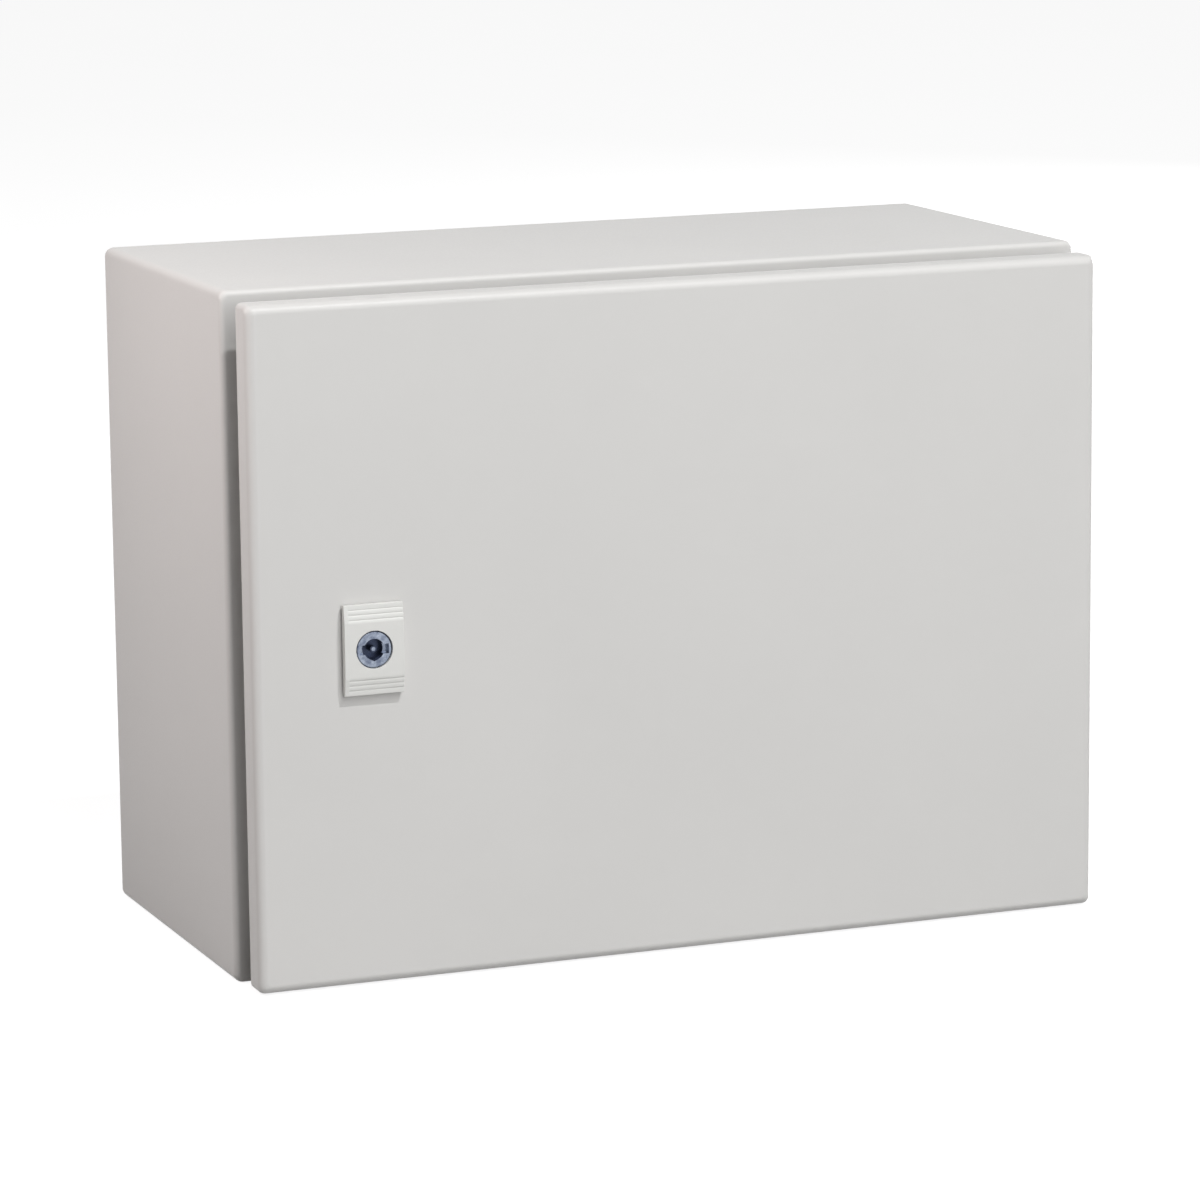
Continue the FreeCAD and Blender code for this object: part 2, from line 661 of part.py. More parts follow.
os.makedirs("parts", exist_ok=True)
solids["body_wrap"] = make_body_wrap()
solids["rear_panel"] = make_rear_panel()
solids["door_panel"] = make_door_panel()
solids["door_seal"] = make_door_seal()
make_plate_fixing()
make_gland_plate()
make_earth_point("body", Vector(-half_width + earth_stud_from_side, rear_inner_y,
                                -half_height + earth_stud_above_base), Vector(0, -1, 0))
make_earth_point("door", Vector(door_left_x + door_earth_from_side, door_inner_y,
                                door_low_z + door_earth_above_edge), Vector(0, 1, 0))
make_hinges()
make_lock()
for name, shape in solids.items():
    shape.exportStep("parts/" + name + ".step")
    print(name, len(shape.Solids), round(shape.Volume, 1), shape.isValid())
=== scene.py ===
import json
from math import cos, hypot, radians, sin, sqrt, tan

import bmesh
import bpy
from bpy.props import FloatProperty, FloatVectorProperty, IntProperty, PointerProperty
from mathutils import Matrix, Vector


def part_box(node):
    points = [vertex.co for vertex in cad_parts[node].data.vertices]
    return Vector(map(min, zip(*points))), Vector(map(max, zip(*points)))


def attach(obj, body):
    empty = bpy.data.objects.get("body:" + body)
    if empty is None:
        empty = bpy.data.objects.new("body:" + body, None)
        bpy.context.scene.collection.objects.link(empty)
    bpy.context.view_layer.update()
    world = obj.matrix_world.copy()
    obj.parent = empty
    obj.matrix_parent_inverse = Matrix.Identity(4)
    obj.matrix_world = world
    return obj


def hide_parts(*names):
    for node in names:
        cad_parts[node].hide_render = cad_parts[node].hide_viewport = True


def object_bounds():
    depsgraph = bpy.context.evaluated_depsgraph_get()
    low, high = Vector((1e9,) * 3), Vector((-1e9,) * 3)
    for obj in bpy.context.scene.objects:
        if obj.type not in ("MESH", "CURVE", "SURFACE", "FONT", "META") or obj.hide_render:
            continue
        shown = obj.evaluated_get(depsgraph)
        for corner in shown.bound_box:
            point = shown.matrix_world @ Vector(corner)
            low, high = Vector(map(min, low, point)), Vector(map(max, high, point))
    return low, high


# Looks of a small steel wall enclosure, laid out as an add-on and run as a script. The solids come
# in as a fixed frame. The folded body keeps its solid and gets its finish here, and the door's
# corners are drawn sharper. Threads, nuts and the foamed seal are made by Geometry Nodes, the
# lock's plate and housing from rows of points, and the other pieces get softened edges.

bl_info = {
    "name": "Steel wall enclosure",
    "version": (1, 0, 0),
    "blender": (4, 5, 0),
    "location": "View3D > Sidebar > Enclosure",
    "description": "Finishes, fasteners, seal and studio for a folded-steel wall enclosure",
    "category": "Add Mesh",
}

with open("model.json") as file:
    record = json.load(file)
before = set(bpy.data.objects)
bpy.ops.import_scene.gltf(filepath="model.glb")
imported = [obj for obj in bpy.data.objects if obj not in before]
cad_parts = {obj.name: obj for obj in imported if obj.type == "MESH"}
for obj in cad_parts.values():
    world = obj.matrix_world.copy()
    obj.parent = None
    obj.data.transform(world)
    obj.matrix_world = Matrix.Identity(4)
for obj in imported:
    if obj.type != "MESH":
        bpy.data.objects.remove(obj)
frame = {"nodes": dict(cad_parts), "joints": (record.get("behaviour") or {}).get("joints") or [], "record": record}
cad_box = [list(corner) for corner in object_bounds()]

MM = 0.001
MERGE_DISTANCE = 0.002 * MM
FLAT_ANGLE = radians(0.5)
SMOOTH_ANGLE = radians(40)

bodies = frame["record"]["behaviour"]["bodies"]
BODY_OF = {node: body for body, nodes in bodies.items() for node in nodes}
JOINT_PLACE = {joint["name"]: Vector(joint["pos_m"]) for joint in frame["joints"]}
LOCK_AXIS = JOINT_PLACE["lock_turn"]

OUT = (0.0, -1.0, 0.0)
BACK = (0.0, 1.0, 0.0)
UP = (0.0, 0.0, 1.0)
EVEN = (1.0, 1.0, 1.0)
WHITE = (1.0, 1.0, 1.0, 1.0)
FULL_TURN = radians(360)


def from_display(red, green, blue):
    """Scene colour of a colour that is written as it looks on a display, from 0 to 255."""
    channels = []
    for value in (red, green, blue):
        share = value / 255
        channels.append(share / 12.92 if share <= 0.04045 else ((share + 0.055) / 1.055) ** 2.4)
    return tuple(channels)


# Settings

def length_setting(name, description, millimetres):
    """Length that a user would change."""
    return FloatProperty(name=name, description=description, default=millimetres * MM, min=0.0,
                         precision=5, unit="LENGTH")


def colour_setting(name, description, display):
    """Colour that a user would change, given as it looks on a display."""
    return FloatVectorProperty(name=name, description=description, size=3, subtype="COLOR",
                               min=0.0, max=1.0, default=from_display(*display))


def share_setting(name, description, default):
    """Share from 0 to 1."""
    return FloatProperty(name=name, description=description, default=default, min=0.0, max=1.0,
                         subtype="FACTOR")


def power_setting(name, description, default):
    """Power of a lamp in watts."""
    return FloatProperty(name=name, description=description, default=default, min=0.0,
                         subtype="POWER")


def angle_setting(name, description, degrees):
    """Angle that a user would change."""
    return FloatProperty(name=name, description=description, default=radians(degrees),
                         subtype="ANGLE")


class EnclosureFinishes(bpy.types.PropertyGroup):
    """Colours and grain of the surfaces."""

    paint: colour_setting("Paint", "Light grey powder coat", (215, 214, 212))
    paint_roughness: share_setting("Paint Roughness", "How matt the powder coat is", 0.40)
    paint_grain: length_setting("Paint Grain", "Size of the coat's fine texture", 0.9)
    door_rounding: length_setting("Door Rounding", "Corner radius of the door's solid", 5)
    door_corner: length_setting("Door Corner", "Corner radius of the finished door", 2.8)
    zinc: colour_setting("Zinc", "Zinc on sheet parts", (206, 209, 213))
    spangle: length_setting("Spangle", "Size of the crystals in galvanised sheet", 7)
    steel: colour_setting("Steel", "Bright fasteners", (200, 202, 206))
    nickel: colour_setting("Nickel", "Plating of the lock", (150, 158, 172))
    tarnish: colour_setting("Tarnish", "Darker patches of the lock's plating", (92, 100, 118))
    # painted shade: colour that the key cup and the ring round the pin are darkened to
    cup_shade: colour_setting("Key Cup", "Dark finish in the cup that the key enters", (52, 58, 74))
    plastic: colour_setting("Plastic", "Moulded plate round the lock", (221, 221, 218))
    foam: colour_setting("Foam", "Foamed seal of the door", (60, 61, 63))
    rubber: colour_setting("Rubber", "Gasket under the lock plate", (44, 44, 46))


class EnclosureFasteners(bpy.types.PropertyGroup):
    """Threads, nuts and softened edges."""

    pitch_m4: length_setting("M4 Pitch", "Pitch of the M4 threads", 0.7)
    pitch_m6: length_setting("M6 Pitch", "Pitch of the M6 threads", 1.0)
    pitch_m8: length_setting("M8 Pitch", "Pitch of the M8 threads", 1.25)
    tip_chamfer: length_setting("Tip Chamfer", "Chamfer at a stud's tip", 0.6)
    plate_shoulder: length_setting("Plate Shoulder", "Shoulder under the mounting plate", 14)
    earth_collar: length_setting("Earth Collar", "Collar at the foot of an earth stud", 4)
    shoulder_edge: length_setting("Shoulder Edge", "Chamfer of a shoulder or collar", 0.3)
    nut_m4: length_setting("M4 Nut", "Width across flats of the M4 nuts", 7)
    nut_m6: length_setting("M6 Nut", "Width across flats of the M6 nuts", 10)
    nut_m8: length_setting("M8 Nut", "Width across flats of the M8 nuts", 13)
    lock_nut: length_setting("Lock Nut", "Width across flats of the lock's nut", 24)
    sheared_edge: length_setting("Sheared Edge", "Softening of cut sheet", 0.15)
    moulded_edge: length_setting("Moulded Edge", "Softening of moulded and cast pieces", 0.22)
    turn_seed: IntProperty(name="Turn Seed", description="How each nut happens to be turned",
                           default=7, min=0)


class EnclosureLock(bpy.types.PropertyGroup):
    """Housing and plate of the lock."""

    barrel_radius: length_setting("Barrel Radius", "Outside of the thread", 10)
    barrel_flat: length_setting("Barrel Flat", "Axis to each of the two flats", 9.2)
    barrel_pitch: length_setting("Barrel Pitch", "Pitch of the thread", 1.5)
    barrel_chamfer: length_setting("Barrel Chamfer", "Chamfer at the thread's end", 0.8)
    run_out: length_setting("Run-out", "Plain length at the thread's end", 1.2)
    flange_height: length_setting("Flange Height", "Thickness of the flange", 1.5)
    flange_chamfer: length_setting("Flange Chamfer", "Chamfer of the flange and the front", 0.4)
    bore_radius: length_setting("Bore Radius", "Bore round the turning core", 8.1)
    tail_radius: length_setting("Tail Radius", "Bore round the core's tail", 6.5)
    bore_depth: length_setting("Bore Depth", "Front of the core to the end of its bore", 19.8)
    plate_flat: length_setting("Plate Flat", "Half height of the plate's flat middle", 11.5)
    plate_end: length_setting("Plate End", "Thickness of the plate's ends", 2.2)
    groove_pitch: length_setting("Groove Pitch", "Distance between the grip grooves", 2.15)
    groove_width: length_setting("Groove Width", "Width of a grip groove", 0.8)
    groove_depth: length_setting("Groove Depth", "Depth of a grip groove", 0.28)
    groove_margin: length_setting("Groove Margin", "Left edge to the grooves' start", 1.8)
    groove_ramp: length_setting("Groove Ramp", "Length over which a groove sets in", 0.2)
    face_bore: length_setting("Face Bore", "Bore in the plate's face", 8.2)
    face_wall: length_setting("Face Wall", "Thickness of the plate's face round the core", 1.6)
    barrel_gap: length_setting("Barrel Gap", "Room round the housing's barrel", 0.2)
    flange_room: length_setting("Flange Room", "Radius of the room for the flange", 11.7)
    flange_gap: length_setting("Flange Gap", "Room above the housing's flange", 0.1)


class EnclosureSeal(bpy.types.PropertyGroup):
    """Foamed bead inside the door."""

    bead_width: length_setting("Bead Width", "Width of the bead", 9)
    corner: length_setting("Corner", "Radius of the bead's middle at the corners", 7)
    dent_width: length_setting("Dent Width", "Width of the line that the lip presses", 2.4)
    dent_depth: length_setting("Dent Depth", "Depth of the line that the lip presses", 0.7)
    ripple: length_setting("Ripple", "Unevenness of the foam", 0.35)
    ripple_size: length_setting("Ripple Size", "Length of the foam's waves", 16)
    step: length_setting("Step", "Distance between sections along the bead", 3)
    seed: IntProperty(name="Seed", description="Pattern of the unevenness", default=3, min=0)


class EnclosureStudio(bpy.types.PropertyGroup):
    """Camera, lamps and floor."""

    camera_place: FloatVectorProperty(
        name="Camera Place", description="Where the camera stands", size=3,
        subtype="TRANSLATION", unit="LENGTH", default=(-0.8473, -2.2340, 0.4247))
    camera_turn: angle_setting("Camera Turn", "Turn to the right of the wall's axis", 21.637)
    camera_dip: angle_setting("Camera Dip", "Tilt below level", 10.728)
    camera_roll: angle_setting("Camera Roll", "Roll of the picture", -0.586)
    lens: FloatProperty(name="Lens", description="Focal length in millimetres on a 36 mm sensor",
                        default=155.121, min=1.0)
    key_power: power_setting("Key Power", "Small lamp, high at the right", 47.0)
    upper_power: power_setting("Upper Power", "Soft lamp, high in front", 22.0)
    front_power: power_setting("Front Power", "Large soft lamp, low in front", 21.0)
    side_power: power_setting("Side Power", "Small soft lamp, close to the left side", 0.98)
    back_power: power_setting("Back Power", "Soft lamp behind, at the right", 48.0)
    sky: share_setting("Sky", "Grey of the room above", 0.17)
    ground: share_setting("Ground", "Grey of the room below", 0.055)
    floor_grey: share_setting("Floor Grey", "Grey that the floor throws back", 0.36)
    floor_light: share_setting("Floor Light", "Light that makes the floor look white", 0.87)


# Node trees

class Output:
    """Output of a node, which arithmetic joins to numbers and other outputs by Math nodes."""

    def __init__(self, graph, socket):
        self.graph = graph
        self.socket = socket

    def __add__(self, other):
        return self.graph.math("ADD", self, other)

    def __radd__(self, other):
        return self.graph.math("ADD", other, self)

    def __sub__(self, other):
        return self.graph.math("SUBTRACT", self, other)

    def __rsub__(self, other):
        return self.graph.math("SUBTRACT", other, self)

    def __mul__(self, other):
        return self.graph.math("MULTIPLY", self, other)

    def __truediv__(self, other):
        return self.graph.math("DIVIDE", self, other)

    def __rtruediv__(self, other):
        return self.graph.math("DIVIDE", other, self)

    def __mod__(self, other):
        return self.graph.math("FLOORED_MODULO", self, other)

    def __pow__(self, other):
        return self.graph.math("POWER", self, other)

    def __gt__(self, other):
        return self.graph.math("GREATER_THAN", self, other)

    def __lt__(self, other):
        return self.graph.math("LESS_THAN", self, other)


class Graph:
    """Adds nodes to a tree and feeds their inputs with values or with other nodes' outputs."""

    def __init__(self, tree):
        self.tree = tree

    def node(self, kind, inputs=None, **settings):
        """Node of a kind, with its settings and its inputs by name or number."""
        node = self.tree.nodes.new(kind)
        for name, value in settings.items():
            setattr(node, name, value)
        for key, value in (inputs or {}).items():
            self.feed(node.inputs[key], value)
        return node

    def output(self, kind, inputs=None, output=0, **settings):
        """One output of a new node, by name or number."""
        return Output(self, self.node(kind, inputs, **settings).outputs[output])

    def feed(self, socket, value):
        """Links an output to a socket, or sets the socket's value."""
        if isinstance(value, Output):
            self.tree.links.new(value.socket, socket)
        else:
            socket.default_value = value

    def math(self, operation, *values):
        """Result of a sum on numbers."""
        return self.output("ShaderNodeMath", dict(enumerate(values)), operation=operation)

    def clamp(self, value, low, high):
        """Number held between two others."""
        return self.math("MINIMUM", self.math("MAXIMUM", value, low), high)

    def spread(self, value, low, high, to_low=0.0, to_high=1.0):
        """Number moved from one range to another, and held there."""
        ranges = {0: value, 1: low, 2: high, 3: to_low, 4: to_high}
        return self.output("ShaderNodeMapRange", ranges)

    def vector(self, x=0.0, y=0.0, z=0.0):
        """Vector of three numbers."""
        return self.output("ShaderNodeCombineXYZ", {0: x, 1: y, 2: z})

    def numbers(self, vector):
        """The three numbers of a vector."""
        node = self.node("ShaderNodeSeparateXYZ", {0: vector})
        return [Output(self, socket) for socket in node.outputs]

    def grey(self, level):
        """Grey of a level."""
        return self.output("ShaderNodeCombineColor", {0: level, 1: level, 2: level})


GEOMETRY = "NodeSocketGeometry"
MATERIAL = "NodeSocketMaterial"
SOCKETS = {float: "NodeSocketFloat", int: "NodeSocketInt", 3: "NodeSocketVector",
           4: "NodeSocketColor"}


def new_group(name, kind, entries, results):
    """Node group with named inputs, each a default or a kind of socket, and named outputs."""
    tree = bpy.data.node_groups.new(name, kind)
    for label, default in entries.items():
        if isinstance(default, str):
            tree.interface.new_socket(label, in_out="INPUT", socket_type=default)
            continue
        socket_type = SOCKETS[len(default) if isinstance(default, tuple) else type(default)]
        socket = tree.interface.new_socket(label, in_out="INPUT", socket_type=socket_type)
        socket.default_value = default
    for label, socket_type in results.items():
        tree.interface.new_socket(label, in_out="OUTPUT", socket_type=socket_type)
    graph = Graph(tree)
    inputs = graph.node("NodeGroupInput").outputs
    entry = {label: Output(graph, inputs[label]) for label in entries}
    return tree, graph, entry, graph.node("NodeGroupOutput").inputs


def lathe_grid(graph, around, rows):
    """Grid of rows round an axis: its mesh, the turn from 0 to 1, the row and the last row."""
    mesh = graph.output("GeometryNodeMeshGrid", {
        "Size X": 1.0, "Size Y": 1.0, "Vertices X": around + 1, "Vertices Y": rows}, "Mesh")
    across, up, _ = graph.numbers(graph.output("GeometryNodeInputPosition"))
    last = rows - 1.0
    return mesh, across + 0.5, graph.math("ROUND", (up + 0.5) * last), last


def choose(graph, number, values):
    """One of a list of values, by its number."""
    node = graph.node("GeometryNodeIndexSwitch", data_type="FLOAT")
    while len(node.index_switch_items) < len(values):
        node.index_switch_items.new()
    graph.feed(node.inputs["Index"], number)
    for index, value in enumerate(values):
        graph.feed(node.inputs[index + 1], value)
    return Output(graph, node.outputs[0])


def round_to_axis(graph, mesh, turn, radius, height):
    """Places a grid's points round the Z axis and closes the seam."""
    angle = turn * FULL_TURN
    x = radius * graph.math("COSINE", angle)
    y = radius * graph.math("SINE", angle)
    placed = graph.output("GeometryNodeSetPosition",
                          {"Geometry": mesh, "Position": graph.vector(x, y, height)})
    return graph.output("GeometryNodeMergeByDistance",
                        {"Geometry": placed, "Distance": MERGE_DISTANCE})


def hand_over(graph, geometry, entry, result):
    """Ends a tree with one real, smooth mesh in its material."""
    real = graph.output("GeometryNodeRealizeInstances", {0: geometry})
    smooth = graph.output("GeometryNodeSetShadeSmooth", {"Geometry": real})
    finish = graph.output("GeometryNodeSetMaterial",
                          {"Geometry": smooth, "Material": entry["Material"]})
    graph.feed(result["Geometry"], finish)


def stand_on_points(graph, piece, entry, result, turns=None):
    """Copies a piece to each given point along the direction."""
    rotation = graph.output("FunctionNodeAlignRotationToVector", {"Vector": entry["Direction"]},
                            axis="Z")
    if turns is not None:
        spin = graph.output("FunctionNodeAxisAngleToRotation", {"Axis": UP, "Angle": turns})
        rotation = graph.output("FunctionNodeRotateRotation",
                                {"Rotation": rotation, "Rotate By": spin},
                                rotation_space="LOCAL")
    copies = graph.output("GeometryNodeInstanceOnPoints", {
        "Points": entry["Geometry"], "Instance": piece, "Rotation": rotation})
    hand_over(graph, copies, entry, result)


ROD_AROUND = 36
ROD_HEAD_ROWS = 4
ROD_SPARE_ROWS = 7


def threaded_rod_tree():
    """Threaded rod on each point: foot or shoulder, helical thread and chamfered tip."""
    entries = {
        "Geometry": GEOMETRY, "Radius": 3 * MM, "Pitch": 1 * MM, "Thread Depth": 0.5 * MM,
        "Length": 12 * MM, "Tip Chamfer": 0.6 * MM, "Shoulder Radius": 3 * MM,
        "Shoulder Height": 0.0, "Shoulder Edge": 0.0, "Direction": UP, "Material": MATERIAL,
    }
    tree, graph, entry, result = new_group("Threaded rod", "GeometryNodeTree", entries,
                                           {"Geometry": GEOMETRY})
    length, pitch = entry["Length"], entry["Pitch"]
    shoulder, widest = entry["Shoulder Height"], entry["Shoulder Radius"]
    half_pitch = pitch * 0.5
    thread_rows = graph.math("CEIL", (length - shoulder) / half_pitch)
    rows = thread_rows + (ROD_HEAD_ROWS + ROD_SPARE_ROWS)
    mesh, turn, row, last = lathe_grid(graph, ROD_AROUND, rows)

    # rows run up the helix: every second one lies on the root of the thread
    step = row - ROD_HEAD_ROWS
    climb = half_pitch * (step - 2.0) + pitch * turn
    thread_height = graph.clamp(climb + shoulder, shoulder, length)
    to_tip = length - thread_height
    fade = graph.clamp(to_tip / pitch, 0.0, 1.0)
    depth = entry["Thread Depth"] * (step % 2.0) * (fade * (thread_height > shoulder))
    tip_radius = entry["Radius"] - entry["Tip Chamfer"] + to_tip
    thread_radius = graph.math("MINIMUM", entry["Radius"] - depth, tip_radius)

    edge = entry["Shoulder Edge"]
    number = graph.math("MINIMUM", row, float(ROD_HEAD_ROWS))
    radius = choose(graph, number, [0.0, widest, widest, widest - edge, thread_radius])
    height = choose(graph, number, [0.0, 0.0, shoulder - edge, shoulder, thread_height])
    radius = radius * (1.0 - (row > last - 1.5))
    height = height * (1.0 - (row > last - 0.5))
    stand_on_points(graph, round_to_axis(graph, mesh, turn, radius, height), entry, result)
    return tree


NUT_AROUND = 48
NUT_ROWS = 16
NUT_CHAMFER_ROWS = 4
NUT_SIDES = 6
CONE_SLOPE = tan(radians(60))
RANDOM_NUMBER = 1


def hex_nut_tree():
    """Hexagon nut on each point, with the cone that rounds its corners and a countersunk bore."""
    entries = {
        "Geometry": GEOMETRY, "Across Flats": 10 * MM, "Height": 5 * MM, "Bore Radius": 3 * MM,
        "Countersink": 0.4 * MM, "Face Share": 0.95, "Turn": 1.0, "Seed": 1, "Direction": UP,
        "Material": MATERIAL,
    }
    tree, graph, entry, result = new_group("Hexagon nut", "GeometryNodeTree", entries,
                                           {"Geometry": GEOMETRY})
    mesh, turn, row, last = lathe_grid(graph, NUT_AROUND, NUT_ROWS)
    bore, countersink, thickness = entry["Bore Radius"], entry["Countersink"], entry["Height"]
    sector = FULL_TURN / NUT_SIDES
    half_flats = entry["Across Flats"] * 0.5
    face_radius = half_flats * entry["Face Share"]
    cone_height = (half_flats / cos(sector / 2) - face_radius) / CONE_SLOPE

    # rows run from the middle of the bore over one face to the edge, and back over the other
    radii = [bore, bore, bore + countersink, face_radius]
    heights = [thickness * 0.5, countersink, 0.0, 0.0]
    for number in range(1, NUT_CHAMFER_ROWS + 1):
        rise = cone_height * (number / NUT_CHAMFER_ROWS)
        heights.append(rise)
        radii.append(face_radius + rise * CONE_SLOPE)
    mirrored = graph.math("MINIMUM", row, last - row)
    height = choose(graph, mirrored, heights)
    upper = row > last / 2
    height = height * (1.0 - upper) + (thickness - height) * upper
    from_flat = ((turn * NUT_SIDES) % 1.0 - 0.5) * sector
    hexagon = half_flats / graph.math("COSINE", from_flat)
    radius = graph.math("MINIMUM", choose(graph, mirrored, radii), hexagon)

    chance = graph.output("FunctionNodeRandomValue", {"Seed": entry["Seed"]}, RANDOM_NUMBER,
                          data_type="FLOAT")
    stand_on_points(graph, round_to_axis(graph, mesh, turn, radius, height), entry, result,
                    chance * sector * entry["Turn"])
    return tree


BEAD_AROUND = 28
BEAD_CORNER_STEPS = 10
BEAD_DOME = 0.7


def foam_bead_tree():
    """Foamed bead along a rounded rectangle, domed, dented by the lip and slightly uneven."""
    entries = {
        "Geometry": GEOMETRY, "Width": 0.36, "Height": 0.26, "Corner Radius": 7 * MM,
        "Bead Width": 9 * MM, "Bead Height": 8 * MM, "Dent Width": 2.4 * MM,
        "Dent Depth": 0.7 * MM, "Ripple": 0.3 * MM, "Ripple Size": 16 * MM, "Step": 3 * MM,
        "Seed": 1, "Material": MATERIAL,
    }
    tree, graph, entry, result = new_group("Foam bead", "GeometryNodeTree", entries,
                                           {"Geometry": GEOMETRY})
    outline = graph.output("GeometryNodeCurvePrimitiveQuadrilateral",
                           {"Width": entry["Width"], "Height": entry["Height"]})
    rounded = graph.output("GeometryNodeFilletCurve", {
        "Curve": outline, "Count": BEAD_CORNER_STEPS, "Radius": entry["Corner Radius"]},
        mode="POLY")
    route = graph.output("GeometryNodeResampleCurve",
                         {"Curve": rounded, "Length": entry["Step"]}, mode="LENGTH")
    level = graph.output("GeometryNodeSetCurveNormal", {"Curve": route}, mode="Z_UP")

    circle = graph.output("GeometryNodeCurvePrimitiveCircle",
                          {"Resolution": BEAD_AROUND, "Radius": 1.0})
    place = graph.output("GeometryNodeInputPosition")
    side, up, _ = graph.numbers(place)
    across = side * (entry["Bead Width"] * 0.5)
    dome = graph.math("MAXIMUM", up, 0.0) ** BEAD_DOME
    from_dent = across / (entry["Dent Width"] * 0.5)
    hollow = graph.math("MAXIMUM", 1.0 - from_dent ** 2.0, 0.0)
    rise = dome * entry["Bead Height"] - hollow * entry["Dent Depth"] * dome
    shaped = graph.output("GeometryNodeSetPosition",
                          {"Geometry": circle, "Position": graph.vector(across, rise)})
    bead = graph.output("GeometryNodeCurveToMesh", {"Curve": level, "Profile Curve": shaped})

    wave = graph.output("ShaderNodeTexNoise", {
        "Vector": place, "W": entry["Seed"], "Scale": 1.0 / entry["Ripple Size"],
        "Detail": 2.0}, noise_dimensions="4D")
    push = graph.output("ShaderNodeVectorMath", {
        0: graph.output("GeometryNodeInputNormal"), "Scale": (wave - 1.0) * entry["Ripple"]},
        operation="SCALE")
    uneven = graph.output("GeometryNodeSetPosition", {"Geometry": bead, "Offset": push})
    hand_over(graph, uneven, entry, result)
    return tree


# Shared shader effects

COLOUR = (0.5, 0.5, 0.5, 1.0)


def object_place(graph):
    """Place on the object, in metres."""
    return graph.output("ShaderNodeTexCoord", output="Object")


def stretched_noise(graph, size, stretch=EVEN, detail=3.0, roughness=0.5):
    """Noise from 0 to 1 whose grains have this size, drawn out along the axes."""
    scaled = graph.output("ShaderNodeVectorMath", {0: object_place(graph), 1: stretch},
                          operation="DIVIDE")
    return graph.output("ShaderNodeTexNoise", {
        "Vector": scaled, "Scale": 1.0 / size, "Detail": detail, "Roughness": roughness})


def grain_group():
    """Fine pebbled grain, for coated, moulded and foamed surfaces."""
    tree, graph, entry, result = new_group(
        "Fine grain", "ShaderNodeTree", {"Size": 0.9 * MM, "Fine Share": 0.35},
        {"Height": "NodeSocketFloat", "Mask": "NodeSocketFloat"})
    share = entry["Fine Share"]
    coarse = stretched_noise(graph, entry["Size"], detail=1.0)
    fine = stretched_noise(graph, entry["Size"] * 0.3, detail=2.0)
    graph.feed(result["Height"], coarse * (1.0 - share) + fine * share)
    graph.feed(result["Mask"], graph.spread(coarse, 0.35, 0.65))
    return tree


def tone_group():
    """Slow change of a colour over a surface, as batches of paint, plating or plastic have."""
    tree, graph, entry, result = new_group(
        "Slow tone", "ShaderNodeTree", {"Colour": COLOUR, "Size": 60 * MM, "Spread": 0.03},
        {"Colour": "NodeSocketColor", "Mask": "NodeSocketFloat"})
    mask = graph.spread(stretched_noise(graph, entry["Size"], detail=4.0), 0.3, 0.7)
    value = (1.0 - entry["Spread"]) + mask * (entry["Spread"] * 2.0)
    tone = graph.output("ShaderNodeHueSaturation", {"Color": entry["Colour"], "Value": value})
    graph.feed(result["Colour"], tone)
    graph.feed(result["Mask"], mask)
    return tree


def brushed_group():
    """Lines that rolling, drawing or turning leaves on metal."""
    tree, graph, entry, result = new_group(
        "Brushed lines", "ShaderNodeTree", {"Size": 0.25 * MM, "Stretch": (30.0, 1.0, 1.0)},
        {"Height": "NodeSocketFloat", "Mask": "NodeSocketFloat"})
    lines = stretched_noise(graph, entry["Size"], entry["Stretch"], 3.0, 0.6)
    graph.feed(result["Height"], lines)
    graph.feed(result["Mask"], graph.spread(lines, 0.3, 0.7))
    return tree


def edge_group():
    """Mask of outer edges, broken up as handling wears them."""
    tree, graph, entry, result = new_group(
        "Rubbed edges", "ShaderNodeTree", {"Reach": 0.5 * MM, "Break Up": 0.5},
        {"Mask": "NodeSocketFloat"})
    rounded = graph.output("ShaderNodeBevel", {"Radius": entry["Reach"]}, samples=4)
    flat = graph.output("ShaderNodeNewGeometry", output="Normal")
    same = graph.output("ShaderNodeVectorMath", {0: rounded, 1: flat}, "Value",
                        operation="DOT_PRODUCT")
    kept = 1.0 - stretched_noise(graph, 2 * MM) * entry["Break Up"]
    graph.feed(result["Mask"], graph.spread(same, 1.0, 0.75) * kept)
    return tree


def bare_material(name):
    """New material with an empty tree, and the graph that fills it."""
    material = bpy.data.materials.new(name)
    material.use_nodes = True
    material.node_tree.nodes.clear()
    return material, Graph(material.node_tree)


class Finish:
    """Material with a Principled BSDF, and the calls that give it shared effects."""

    def __init__(self, name, **constants):
        self.material, self.graph = bare_material(name)
        self.shader = self.graph.node("ShaderNodeBsdfPrincipled")
        for socket, value in constants.items():
            self.feed(socket.replace("_", " "), value)
        surface = Output(self.graph, self.shader.outputs[0])
        self.graph.node("ShaderNodeOutputMaterial", {0: surface})

    def feed(self, socket, value):
        """Sets or links an input of the shader."""
        self.graph.feed(self.shader.inputs[socket], value)

    def effect(self, group, **inputs):
        """Outputs of a shared effect with its own values."""
        values = {name.replace("_", " "): value for name, value in inputs.items()}
        node = self.graph.node("ShaderNodeGroup", values, node_tree=bpy.data.node_groups[group])
        return {socket.name: Output(self.graph, socket) for socket in node.outputs}

    def roughness(self, mask, low, high):
        """Roughness between two values by a mask."""
        self.feed("Roughness", self.graph.spread(mask, 0.0, 1.0, low, high))

    def mix(self, mask, first, second):
        """Colour between two colours by a mask."""
        return self.graph.output("ShaderNodeMix", {"Factor": mask, 6: first, 7: second}, 2,
                                 data_type="RGBA")

    def bump(self, *layers):
        """Bumps in a row: each layer is a height and the depth that it stands for in metres."""
        below = {}
        for height, depth in layers:
            normal = self.graph.output("ShaderNodeBump", {
                "Height": height, "Distance": depth, "Strength": 1.0, **below})
            below = {"Normal": normal}
        self.feed("Normal", normal)


